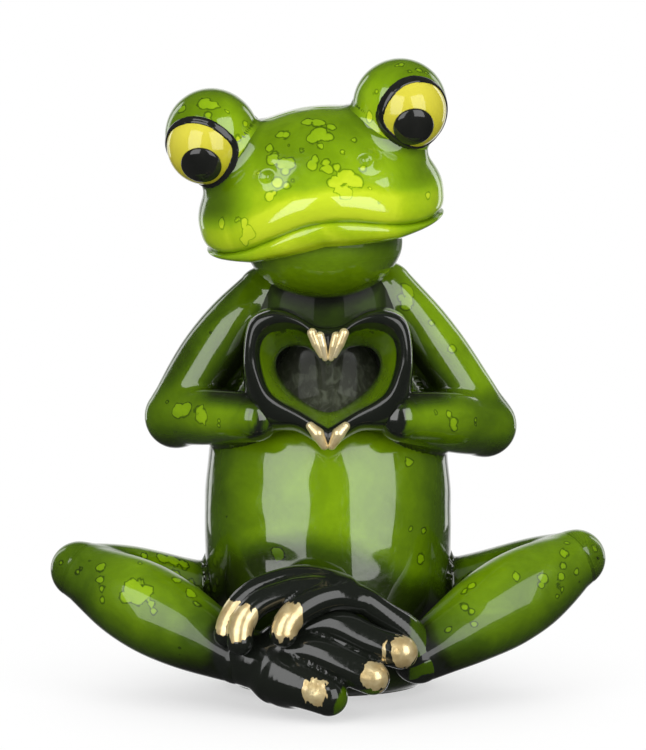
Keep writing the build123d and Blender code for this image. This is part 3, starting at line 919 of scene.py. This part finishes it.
for s, k in SIDES.items():

    def thigh_form(p):
        """Field of this side's leg and the torso together."""
        return join(whole_leg(p, s), torso_field(p), 1.0) + ripple(p)

    def shin_form(p):
        """Field of this side's leg alone."""
        return whole_leg(p, s) + ripple(p)

    def this_arm(p):
        """Field of this side's arm."""
        return arm_form(p, s)

    own = PARTS[s]
    skin = around_limb(HIP[s], KNEE[s], 4.9, 4.3, thigh_form, own["thigh"], rows=170, columns=150)
    build(s + "_thigh_skin", [s + "_thigh"], [skin], body_glaze, leg_paint(s, "thigh"))
    skin = around_limb(KNEE[s], ANKLE[s], 4.6, 3.5, shin_form, own["shin"], rows=190, columns=170)
    build(s + "_shin_skin", [s + "_shin"], [skin], body_glaze, leg_paint(s, "shin"))
    crook = np.array((k * 14.0, 10.8, 42.0))
    grids = [
        around_limb(SHOULDER[s], ELBOW[s], 3.6, 3.7, this_arm, own["upper"], rows=150, columns=130),
        around_limb(ELBOW[s], WRIST[s], 3.8, 3.1, this_arm, own["fore"], rows=140, columns=130),
        around_point(crook, (0, 1, 0), this_arm, own["web"], 1.0, 13.0, rows=90, columns=130),
    ]
    build(s + "_arm_skin", [s + "_arm"], grids, body_glaze, arm_paint(s))

# Feet: black paint that lets the green through by the toes, gold brushed on the toe ends

GOLD_AT = {
    "right": ((9.9, -18.0, 9.3, 2.4), (6.2, -19.4, 6.4, 2.1), (-1.6, -19.6, 4.2, 1.9)),
    "left": ((-12.9, -15.2, 13.2, 2.3), (-11.5, -18.2, 13.0, 2.3), (-5.5, -19.2, 13.5, 2.3)),
}
# Places by the toe ends where the green shows through the black, and how far it reaches
GREEN_AT = ((1.9, -18.6, 2.6, 1.9), (5.6, -18.6, 4.2, 1.2), (-8.6, -18.6, 11.2, 0.9))


def foot_paint(side):
    """Paint of a foot: black all over but for the left ankle, the green places and the gold toe ends."""

    def paint(p):
        """Numbers for the glaze at each point."""
        gold = np.full(len(p), NO_GOLD)
        for gx, gy, gz, reach in GOLD_AT[side]:
            away = np.linalg.norm((p - (gx, gy, gz)) * (1, 0.8, 1), axis=1)
            gold = np.maximum(gold, reach - away)
        black = 0.95 - 0.9 * smooth(p[:, 0], 9.0, 12.5) * (side == "left")
        for gx, gy, gz, reach in GREEN_AT:
            black = black - 0.75 * smooth(reach - np.linalg.norm(p - (gx, gy, gz), axis=1), -1.4, 0.8)
        return glaze_paint(0.30 - 0.1 * smooth(p[:, 2], 4, 18), black=black, gold=gold)

    return paint


def foot_skins(side):
    """Skins of a foot's stretches, and apart from them those of its toe ends.

    Each bent limb comes in stretches of a few short steps, and the last stretch of a toe is its end.
    """

    def form(p):
        """Field of the whole foot."""
        return PARTS[side]["foot"](p) + ripple(p, 6.0, 0.015)

    feet, caps = [], []
    for count, (places, radii) in enumerate(FOOT_LIMBS[side]):
        for i in range(0, len(places) - 1, FOOT_FINE):
            stretch, sizes = places[i:i + FOOT_FINE + 1], radii[i:i + FOOT_FINE + 1]

            def own(p):
                """Field of this stretch alone."""
                return limb(p, stretch, sizes)

            skin = around_limb(
                stretch[0], stretch[-1], sizes[0], sizes[-1], form, own, rows=60, columns=76, margin=0.9)
            skin[..., 2] = np.maximum(skin[..., 2], 0.0)
            toe_end = count > 0 and i + FOOT_FINE == len(places) - 1
            (caps if toe_end else feet).append(skin)
    return feet, caps


for s in SIDES:
    feet, caps = foot_skins(s)
    build(s + "_foot_skin", [s + "_foot"], feet, foot_glaze, foot_paint(s))
    build(s + "_toe_ends", [s + "_toe_caps"], caps, cap_glaze, foot_paint(s))

# Skull and eyelids

FACE_SPOTS = (
    (308, 119, 5), (317, 119, 6), (320, 132, 8), (314, 137, 5), (329, 134, 6), (332, 125, 4), (279, 132, 5),
    (286, 132, 5), (287, 143, 2.4), (320, 144, 2.4), (353, 137, 2.2), (267, 147, 4), (271, 157, 7),
    (279, 162, 6), (288, 163, 6), (282, 171, 5), (275, 182, 7), (283, 185, 5), (291, 179, 3), (266, 197, 5),
    (271, 192, 4), (310, 163, 4), (315, 157, 3), (327, 160, 4), (329, 167, 5), (337, 165, 5), (336, 182, 8),
    (346, 174, 8), (356, 181, 8), (348, 190, 8), (340, 188, 6), (218, 227, 4), (241, 222, 3), (241, 230, 3),
    (246, 238, 7), (243, 247, 5), (234, 219, 2.4), (432, 195, 2.4), (266, 178, 2.4), (365, 167, 2.4),
    (300, 148, 2), (345, 150, 1.8), (372, 188, 2), (256, 172, 2.4), (380, 200, 1.6),
)
LID_SPOTS = {
    "right": (
        (204, 101, 6), (213, 103, 6), (208, 112, 4), (207, 119, 3), (250, 122, 2.6), (232, 110, 2),
        (180, 106, 2.4), (243, 140, 2.6),
    ),
    "left": (
        (395, 63, 3.4), (403, 62, 4), (412, 70, 2.6), (421, 68, 3.6), (372, 92, 2.4), (366, 120, 3),
        (430, 72, 2),
    ),
}


def head_form(h):
    """Field of skull and eyelids together, in the head's own axes."""
    d = skull_field(h)
    for s in SIDES:
        d = join(d, lid_field(h, s), 2.4)
    return d + ripple(h)


def face_paint(p):
    """Lime at muzzle and upper lip, darker on crown and back, painted shade on the cheeks and by the lids.
    """
    h = in_head(p)
    x, y, z = h.T
    rise = z - mouth_line(x, y)
    front = smooth(-y, -6.0, 4.0)
    lip = (1 - smooth(rise, 3.2, 5.2)) * smooth(-y, -2.0, 6.0)
    tone = 0.74 + 0.06 * front - 0.24 * smooth(z, 7, 14)
    # Painted shade on the cheeks, heavier on the right one
    cheek_shade = 0.42 * smooth(-x, 7.5, 13.5) + 0.24 * smooth(x, 9.0, 15.0)
    tone = tone - cheek_shade * smooth(rise, 2.5, 6.0) - 0.14 * smooth(y, 2, 10)
    tone = tone + lip * (0.24 - 0.18 * smooth(np.abs(x), 7, 14))
    # Painted shade in the creases by the lids and in the groove of the mouth line
    crease_shade = close_to(h, *[lambda q, s=s: lid_field(q, s) for s in SIDES], reach=2.0)
    tone = tone - 0.20 * crease_shade - 0.25 * (1 - smooth(rise, -0.2, 0.8))
    back = scatter(p, 22, 5, lambda q: in_head(q)[:, 1] > 2)
    return glaze_paint(tone, spot=np.minimum(back, spots(p, FACE_SPOTS)))


def lid_paint(side):
    """Paint of an eyelid: lime by the eye and the head's middle, painted shade where it meets the skull."""

    def paint(p):
        """Numbers for the glaze at each point."""
        h = in_head(p)
        q = h - LID_CENTRE[side]
        around = (q @ GAZE[side]) / LID_RADIUS
        within = smooth(-SIDES[side] * q[:, 0] - 0.4 * q[:, 2], -4.0, 5.0)
        tone = 0.46 + 0.36 * smooth(around, -0.5, 0.45) * within + 0.06 * smooth(around, 0.0, 0.6)
        # Painted shade in the crease against the skull
        tone = tone - 0.18 * close_to(h, skull_field, reach=2.0) * (1 - smooth(around, 0.2, 0.6))
        back = scatter(p, 6, 31, lambda q: in_head(q)[:, 1] > 3)
        return glaze_paint(tone, spot=np.minimum(back, spots(p, LID_SPOTS[side])))

    return paint


skin = around_point(
    np.array((0, 0, 6.0)), (0, 0, 1), head_form, skull_field, 12.0, 21.0, rows=280, columns=350)
build("face", ["skull"], [from_head(skin)], head_glaze, face_paint)
for s in SIDES:

    def own(h):
        """Field of this side's lid alone."""
        return lid_field(h, s)

    skin = around_point(
        LID_CENTRE[s], (0, 1, 0), head_form, own, LID_RADIUS, 9.0, rows=130, columns=170)
    build(s + "_lid_skin", [s + "_eyelid"], [from_head(skin)], head_glaze, lid_paint(s))

# Lower jaw

JAW_COLUMNS = 320
JAW_ROWS = 40
JAW_CLOSING_ROWS = 8
JAW_HALF_WIDTH = 16.1
JAW_FRONT = 12.7
JAW_REAR = 8.6
JAW_FALL = (0, 0.1, 0.28, 0.52, 0.8, 1.0)
JAW_SIZE = (0.93, 0.968, 0.992, 0.985, 0.93, 0.84)


def jaw_skin():
    """Rings whose size and fall run from the mouth line to the lip's underside, closed by points."""
    fall = np.concatenate((
        np.zeros(JAW_CLOSING_ROWS),
        np.linspace(0, 1, JAW_ROWS),
        np.ones(JAW_CLOSING_ROWS),
    ))
    closing = np.concatenate((
        np.linspace(0, 1, JAW_CLOSING_ROWS, endpoint=False),
        np.ones(JAW_ROWS),
        np.linspace(1, 0, JAW_CLOSING_ROWS + 1)[1:],
    ))
    size = (curve(fall, JAW_FALL, JAW_SIZE) * closing)[:, None]
    theta = np.linspace(0, 2 * np.pi, JAW_COLUMNS, endpoint=False)
    x = size * JAW_HALF_WIDTH * np.cos(theta)
    y = size * np.where(np.sin(theta) > 0, -JAW_FRONT, -JAW_REAR) * np.sin(theta)
    top = mouth_line(x, y) - 0.1
    low = -0.4 - 0.13 * np.clip(np.abs(x), 0, 10) + 0.05 * np.clip(np.abs(x) - 10, 0, 9)
    return np.stack((x, y, top + (np.minimum(low, top - 0.8) - top) * fall[:, None]), axis=-1)


def jaw_paint(p):
    """Bright lime, darker at the mouth's corners; painted shade at the back, below, under the upper lip."""
    x, y, z = in_head(p).T
    # Darker at the mouth's corners; painted shade towards the back, under the head
    tone = 0.93 - 0.24 * smooth(np.abs(x), 7, 15) - 0.25 * smooth(y, -4, 6)
    # Painted shade on the underside and under the upper lip
    tone = tone - 0.20 * (1 - smooth(z, -1.6, -0.2)) - 0.2 * smooth(z - mouth_line(x, y), -0.6, 0.0)
    return glaze_paint(tone)


build("lower_lip", ["lower_jaw"], [from_head(jaw_skin())], head_glaze, jaw_paint)

# Throat pouch


def throat_paint(p):
    """Green in the middle, painted shade at its sides, under the jaw and by the chest, matt at its top."""
    x, y, z = p.T
    # Painted shade at the sides and under the jaw
    tone = 0.56 - 0.20 * smooth(np.abs(x - THROAT_CENTRE[0]), 4, 10) - 0.20 * smooth(z, 57.5, 61.5)
    # Painted shade in the crease by the chest
    tone = tone - 0.30 * close_to(p, torso_field, reach=1.8)
    matt = 0.9 * smooth(z, 58.0, 60.0) * (y < 3.0)
    return glaze_paint(tone + 0.12 * matt, spot=scatter(p, 3, 41, lambda q: q[:, 1] > 2), matt=matt)


skin = around_point(
    THROAT_CENTRE, (0, 0, 1), throat_field, throat_field, 8.0, 12.0, rows=100, columns=160)
build("throat_pouch", ["throat"], [skin], body_glaze, throat_paint)

# Eyes

PUPIL_RADIUS = 2.70
PUPIL_RISE = 0.34
PUPIL_DEPTH = 0.4
PUPIL_ROWS, PUPIL_BACK_ROWS, PUPIL_COLUMNS = 24, 9, 72
OUTLINE_WIDTH = {"right": 1.05, "left": 1.4}
# How far the outline's middle lies from the edge of the ball, as a share of its width
OUTLINE_SHIFT = {"right": 0.08, "left": -0.40}
OUTLINE_STATIONS, OUTLINE_CORNERS = 220, 24


def eye_centre(side):
    """Centre of the ball, ahead of the lid's along the gaze."""
    return LID_CENTRE[side] + GAZE[side] * EYE_ADVANCE


def pupil_skin(side):
    """A low disc with a rounded edge laid over the ball, closed by a dish just inside it."""
    out = np.linspace(0, 1, PUPIL_ROWS)
    back = np.linspace(1, 0, PUPIL_BACK_ROWS + 1)[1:]
    lift = np.concatenate((PUPIL_RISE * (1 - out**6) ** 0.5, np.full(PUPIL_BACK_ROWS, -PUPIL_DEPTH)))
    angle = np.concatenate((out, back)) * np.arcsin(PUPIL_RADIUS / EYE_RADIUS)
    rays = globe(PUPIL_AT[side], np.pi - angle, PUPIL_COLUMNS)
    return eye_centre(side) + (EYE_RADIUS + lift)[:, None, None] * rays


def outline_skin(side):
    """A raised painted band that follows the head's surface round the eye, widest inside.

    At each station round the gaze the ball is followed outwards to where it goes under the head: that
    is its edge. The band's two borders are angles about that edge, let down onto the head, and the
    angle between them is corrected a few times until the width along the surface is the wanted one.
    """
    eye, gaze = eye_centre(side), GAZE[side]
    up = unit(np.array((0, 0, 1.0)) - gaze * gaze[2])
    around = np.linspace(0, 2 * np.pi, OUTLINE_STATIONS, endpoint=False)
    out = np.cos(around)[:, None] * np.cross(up, gaze) + np.sin(around)[:, None] * up

    def toward(polar):
        """Rays at angles from the gaze, one row of them for each station."""
        return np.cos(polar)[..., None] * gaze + np.sin(polar)[..., None] * out[:, None, :]

    angles = np.linspace(0.5, 2.4, 160)
    buried = head_form(eye + EYE_RADIUS * toward(angles + np.zeros((OUTLINE_STATIONS, 1)))) < 0
    edge = angles[np.argmax(buried, axis=1)]
    widest = unit(0.9 * up - SIDES[side] * np.array((1.0, 0, 0)))
    wanted = OUTLINE_WIDTH[side] * (0.45 + 0.55 * smooth(out @ widest, -0.75, 0.6))
    section = np.linspace(0, 2 * np.pi, OUTLINE_CORNERS, endpoint=False)
    wide = wanted / EYE_RADIUS
    for _ in range(4):
        rays = toward(edge[:, None] + wide[:, None] * (OUTLINE_SHIFT[side] - 0.5 * np.cos(section)))
        radius = np.full(rays.shape[:-1], EYE_RADIUS + 0.3)
        for _ in range(16):
            radius = np.clip(radius - 0.8 * head_form(eye + radius[..., None] * rays), EYE_RADIUS, 8.0)
        laid = (radius[..., None] * rays)[:, :OUTLINE_CORNERS // 2 + 1]
        wide = wide * wanted / np.linalg.norm(np.diff(laid, axis=1), axis=-1).sum(axis=1)
    radius = radius + np.where(np.sin(section) > 0, 0.22, 0.35) * np.sin(section)
    return eye + radius[..., None] * rays


for s in SIDES:
    eye = eye_centre(s)

    def ball(h):
        """Field of this side's eyeball."""
        return np.linalg.norm(h - eye, axis=-1) - EYE_RADIUS

    def eye_paint(p):
        """Painted reflection: paler towards the top of the ball."""
        return {"tone": 0.55 + 0.4 * smooth((in_head(p) - eye)[:, 2], -4.5, 4.0)}

    skin = around_point(eye, GAZE[s], ball, ball, EYE_RADIUS, 9.0, rows=90, columns=120)
    build(s + "_eye_skin", [s + "_eyeball"], [from_head(skin)], eye_yellow, eye_paint)
    skin = from_head(pupil_skin(s))
    build(s + "_pupil_skin", [s + "_pupil"], [skin], eye_black, {"tone": 0.4})
    points = from_head(outline_skin(s)).reshape(-1, 3)
    faces = ring_faces(OUTLINE_STATIONS, OUTLINE_CORNERS)
    if enclosed(points, faces) < 0:
        faces = faces[:, ::-1]
    place(s + "_outline", [s + "_eye_outline"], points, (faces,), eye_black, {"tone": 0.4})

# Hands: a closed section carried along half a heart, from the cusp round to the thumbs

# Half outlines seen from the front: the hand's outer edge, the rim of the recess and the edge of its floor
OUTER = (
    (0, 50.1), (1.3, 50.2), (2.7, 50.9), (4.7, 52.0), (7.2, 52.5), (9.4, 51.8), (10.6, 50.2), (11.1, 47.0),
    (11.1, 43.5), (10.9, 39.8), (9.8, 36.6), (7.2, 35.7), (4.4, 36.0), (1.7, 35.0), (0, 33.9),
)
RIM = (
    (0, 45.9), (1.0, 46.9), (2.2, 49.1), (3.8, 50.3), (6.2, 50.7), (8.3, 49.9), (9.2, 48.3), (9.3, 46.1),
    (8.7, 43.3), (7.6, 41.2), (5.8, 39.9), (4.0, 39.0), (2.3, 38.0), (1.0, 37.2), (0, 36.6),
)
FLOOR = (
    (0, 44.4), (1.2, 45.6), (2.4, 46.6), (3.6, 47.0), (5.2, 46.9), (6.4, 46.1), (6.9, 44.9), (6.8, 43.6),
    (6.2, 42.4), (5.2, 41.1), (3.9, 40.0), (2.6, 39.2), (1.4, 38.6), (0.6, 38.4), (0, 38.3),
)
# Shares of outer, rim and floor outline, and the place front to back, at each corner of the section
SECTION = np.array((
    (0.55, 0.45, 0, 2.4), (0.93, 0.07, 0, -1.6), (1, 0, 0, -5.0), (0.97, 0.03, 0, -7.0),
    (0.75, 0.25, 0, -8.05), (0.35, 0.65, 0, -8.25), (0, 1, 0, -7.7), (0, 0.72, 0.28, -6.2),
    (0, 0.3, 0.7, -3.6), (0, 0, 1, -0.9), (0, 0, 1, 2.4),
))
HAND_ROWS = 200
HAND_END_ROWS = 6
FRONT_COLUMNS, BACK_COLUMNS = 84, 12
# Place of each column among the section's corners; the columns of the flat back have none
CORNER = np.concatenate((np.linspace(0, len(SECTION) - 1, FRONT_COLUMNS), np.full(BACK_COLUMNS, -1.0)))
# Centre line and radii of two fingers and the thumb, on the left
FINGERTIPS = (
    (((2.1, -8.05, 49.6), (1.55, -8.2, 48.2), (0.85, -8.1, 46.7)), (0.66, 0.64, 0.45)),
    (((1.05, -8.15, 49.2), (0.7, -8.25, 47.9), (0.38, -8.1, 46.3)), (0.6, 0.55, 0.42)),
    (((2.3, -8.0, 37.3), (1.35, -8.15, 36.3), (0.5, -8.1, 34.7)), (0.6, 0.9, 0.55)),
)


def hand_skin(side):
    """Sections mixed from the three outlines by their shares, shrinking to a point at both ends."""
    along = np.linspace(0, len(OUTER) - 1, HAND_ROWS)
    outlines = [curve(along, np.arange(len(line)), np.array(line, float)) for line in (OUTER, RIM, FLOOR)]
    weights = curve(np.clip(CORNER, 0, len(SECTION) - 1), np.arange(len(SECTION)), SECTION)
    closing = np.linspace(1, 0, BACK_COLUMNS + 2)[1:-1, None]
    weights[FRONT_COLUMNS:] = SECTION[-1] * closing + SECTION[0] * (1 - closing)
    flat = sum(weights[None, :, i, None] * outlines[i][:, None, :] for i in range(len(outlines)))
    # The outer edge draws back where the forearm comes in
    drawn = 4.2 * smooth(along, 7.2, 9.6) * (1 - smooth(along, 11.2, 13.4))
    deep = weights[None, :, 3] + drawn[:, None] * np.clip(weights[None, :, 0], 0, 1) ** 2
    rings = np.stack((SIDES[side] * np.clip(flat[..., 0], 0.0, None), deep, flat[..., 1]), axis=-1)
    rings = rings + (0, 1, 0) * ripple(rings, 6.0, 0.03)[..., None]
    first, last = rings[0].mean(0), rings[-1].mean(0)
    shares = np.linspace(0, 1, HAND_END_ROWS + 1)[:-1, None, None]
    return np.concatenate((
        first + (rings[0] - first) * shares,
        rings,
        last + (rings[-1] - last) * shares[::-1],
    ))


def along_rows(values):
    """One value for each column of a hand's skin, brought to its vertices."""
    return flatten(np.broadcast_to(values, (HAND_ROWS + 2 * HAND_END_ROWS, len(values))))


def hand_paint(p):
    """Black fingers with painted olive sheen on the outer edge, a green recess wall with painted shade."""
    y, z = p[:, 1], p[:, 2]
    wall = along_rows(smooth(CORNER, 6.2, 6.9))
    outer_edge_sheen = along_rows(1 - smooth(CORNER, 1.2, 3.2))
    # Painted shade on the recess wall deeper in and towards its top; painted olive sheen along the outer
    # edge
    tone = 0.46 * wall * (1 - 0.5 * smooth(y, -3.0, 0.0)) + 0.16 * outer_edge_sheen + 0.10
    tone = tone - 0.12 * wall * smooth(z, 45, 50)
    # Low down the painted sheen also lets the green through the black
    black = 0.95 - 0.85 * wall * (1 - 0.35 * smooth(z, 47, 50)) - 0.40 * outer_edge_sheen * (1 - smooth(z, 37, 41))
    return glaze_paint(tone, black=black)


def fingertip_skins(side):
    """Skins of the short limbs that are the painted fingertips."""
    skins = []
    for line, radii in FINGERTIPS:
        places = [np.array((SIDES[side] * x, y, z)) for x, y, z in line]

        def own(p):
            """Field of this fingertip."""
            return limb(p, places, radii)

        for a, b, ra, rb in zip(places[:-1], places[1:], radii[:-1], radii[1:]):
            skins.append(around_limb(a, b, ra, rb, own, own, rows=26, columns=30))
    return skins


for s in SIDES:
    build(s + "_hand_skin", [s + "_hand"], [hand_skin(s)], hand_glaze, hand_paint)
    tips = fingertip_skins(s)
    build(s + "_gold_tips", [s + "_fingertips"], tips, gold_paint, {"tone": 0.5})

# Stage


def backdrop(name):
    """Pale sheet under the figure; far from it the camera sees plain white."""
    g = Graph(name)
    white = g.tree.nodes.new("ShaderNodeEmission")
    seen = g.tree.nodes.new("ShaderNodeLightPath").outputs["Is Camera Ray"]
    g.feed(g.shader.inputs["Base Color"], g.mix(seen, (0.30, 0.30, 0.30), (0.92, 0.92, 0.92)))
    g.shader.inputs["Roughness"].default_value = 0.9
    away = g.tree.nodes.new("ShaderNodeVectorMath")
    away.operation = "LENGTH"
    g.tree.links.new(g.place_on_object(), away.inputs[0])
    blend = g.tree.nodes.new("ShaderNodeMixShader")
    plain = g.math("ADD", 0.55, g.math("MULTIPLY", g.step(away.outputs["Value"], 0.01, 0.06), 0.45))
    g.feed(blend.inputs[0], g.math("MULTIPLY", seen, plain))
    g.tree.links.new(g.shader.outputs[0], blend.inputs[1])
    g.tree.links.new(white.outputs[0], blend.inputs[2])
    g.tree.links.new(blend.outputs[0], g.tree.nodes["Material Output"].inputs[0])
    return g.material


floor = bpy.data.meshes.new("floor")
floor.from_pydata([(-0.6, -0.6, 0), (0.6, -0.6, 0), (0.6, 0.6, 0), (-0.6, 0.6, 0)], [], [(0, 1, 2, 3)])
floor.materials.append(backdrop("white_sheet"))
floor_piece = bpy.data.objects.new("floor", floor)
bpy.context.scene.collection.objects.link(floor_piece)
floor_piece.visible_glossy = False

# World: white for the camera, a soft fill, and for the gloss a dim room that is white far behind

FILL = 0.28
REFLECTED_ROOM = 0.05
# Share of the way towards the back at which the dim room starts to turn white, and is white
ROOM_END, WHITE_START = 0.80, 0.97
world = bpy.data.worlds.new("studio")
bpy.context.scene.world = world
world.use_nodes = True
nodes, links = world.node_tree.nodes, world.node_tree.links
nodes["Background"].inputs["Color"].default_value = (1, 1, 1, 1)
ray_kind = nodes.new("ShaderNodeLightPath")


def between(value, low, high):
    """Node that runs from one number to another as the value goes from 0 to 1."""
    node = nodes.new("ShaderNodeMapRange")
    for socket, number in (("Value", value), ("To Min", low), ("To Max", high)):
        if isinstance(number, bpy.types.NodeSocket):
            links.new(number, node.inputs[socket])
        else:
            node.inputs[socket].default_value = number
    return node


direction = nodes.new("ShaderNodeSeparateXYZ")
links.new(nodes.new("ShaderNodeTexCoord").outputs["Generated"], direction.inputs[0])
behind = between(direction.outputs["Y"], REFLECTED_ROOM, 1.0)
behind.interpolation_type = "SMOOTHSTEP"
behind.inputs["From Min"].default_value = ROOM_END
behind.inputs["From Max"].default_value = WHITE_START
unseen = between(ray_kind.outputs["Is Glossy Ray"], FILL, behind.outputs["Result"])
seen = nodes.new("ShaderNodeMath")
seen.operation = "MAXIMUM"
links.new(ray_kind.outputs["Is Camera Ray"], seen.inputs[0])
links.new(ray_kind.outputs["Is Transmission Ray"], seen.inputs[1])
strength = between(seen.outputs[0], unseen.outputs["Result"], 1.0)
links.new(strength.outputs["Result"], nodes["Background"].inputs["Strength"])

# Lights: two windows in front, two edges behind, and four that only fill and are not mirrored

LIT_CENTRE = np.array((0, 0, 0.04))


def softbox(name, azimuth, elevation, distance, size, radiance):
    """Lit rectangle that faces the figure from the given direction; azimuth 0 is in front."""
    a, e = np.radians((azimuth, elevation))
    way = np.array((np.sin(a) * np.cos(e), -np.cos(a) * np.cos(e), np.sin(e)))
    light = bpy.data.lights.new(name, "AREA")
    light.shape = "RECTANGLE"
    light.size, light.size_y = size
    light.energy = radiance * np.pi * size[0] * size[1]
    lamp = bpy.data.objects.new(name, light)
    lamp.location = way * distance + LIT_CENTRE
    lamp.rotation_euler = Vector(-way).to_track_quat("-Z", "Y").to_euler()
    bpy.context.scene.collection.objects.link(lamp)
    return lamp


softbox("window_left", -34, 22, 0.5, (0.34, 0.50), 2.8)
softbox("window_right", 36, 22, 0.5, (0.34, 0.50), 2.8)
softbox("overhead", 0, 88, 0.7, (0.8, 0.8), 1.0).visible_glossy = False
softbox("rear", 180, 35, 0.6, (0.6, 0.5), 1.3).visible_glossy = False
softbox("side_left", -95, 15, 0.5, (0.3, 0.4), 1.0).visible_glossy = False
softbox("side_right", 95, 15, 0.5, (0.3, 0.4), 1.0).visible_glossy = False
softbox("edge_left", -138, 12, 0.5, (0.10, 0.40), 1.6)
softbox("edge_right", 138, 12, 0.5, (0.10, 0.40), 1.6)

# Camera

LENS = 200
SENSOR = 36
CAMERA_TILT = np.radians(7.0)
SEEN_WIDTH = 0.0853
camera_data = bpy.data.cameras.new("camera")
camera_data.lens = LENS
camera_data.sensor_width = SENSOR
camera = bpy.data.objects.new("camera", camera_data)
aim = np.array((-0.66, -3.0, 43.45)) * MM
distance = SEEN_WIDTH * FRAME_HEIGHT / FRAME_WIDTH * LENS / SENSOR
camera.location = aim + distance * np.array((0, -np.cos(CAMERA_TILT), np.sin(CAMERA_TILT)))
camera.rotation_euler = Vector(aim - np.array(camera.location)).to_track_quat("-Z", "Y").to_euler()
bpy.context.scene.collection.objects.link(camera)
bpy.context.scene.camera = camera
bpy.context.scene.view_settings.view_transform = "Standard"
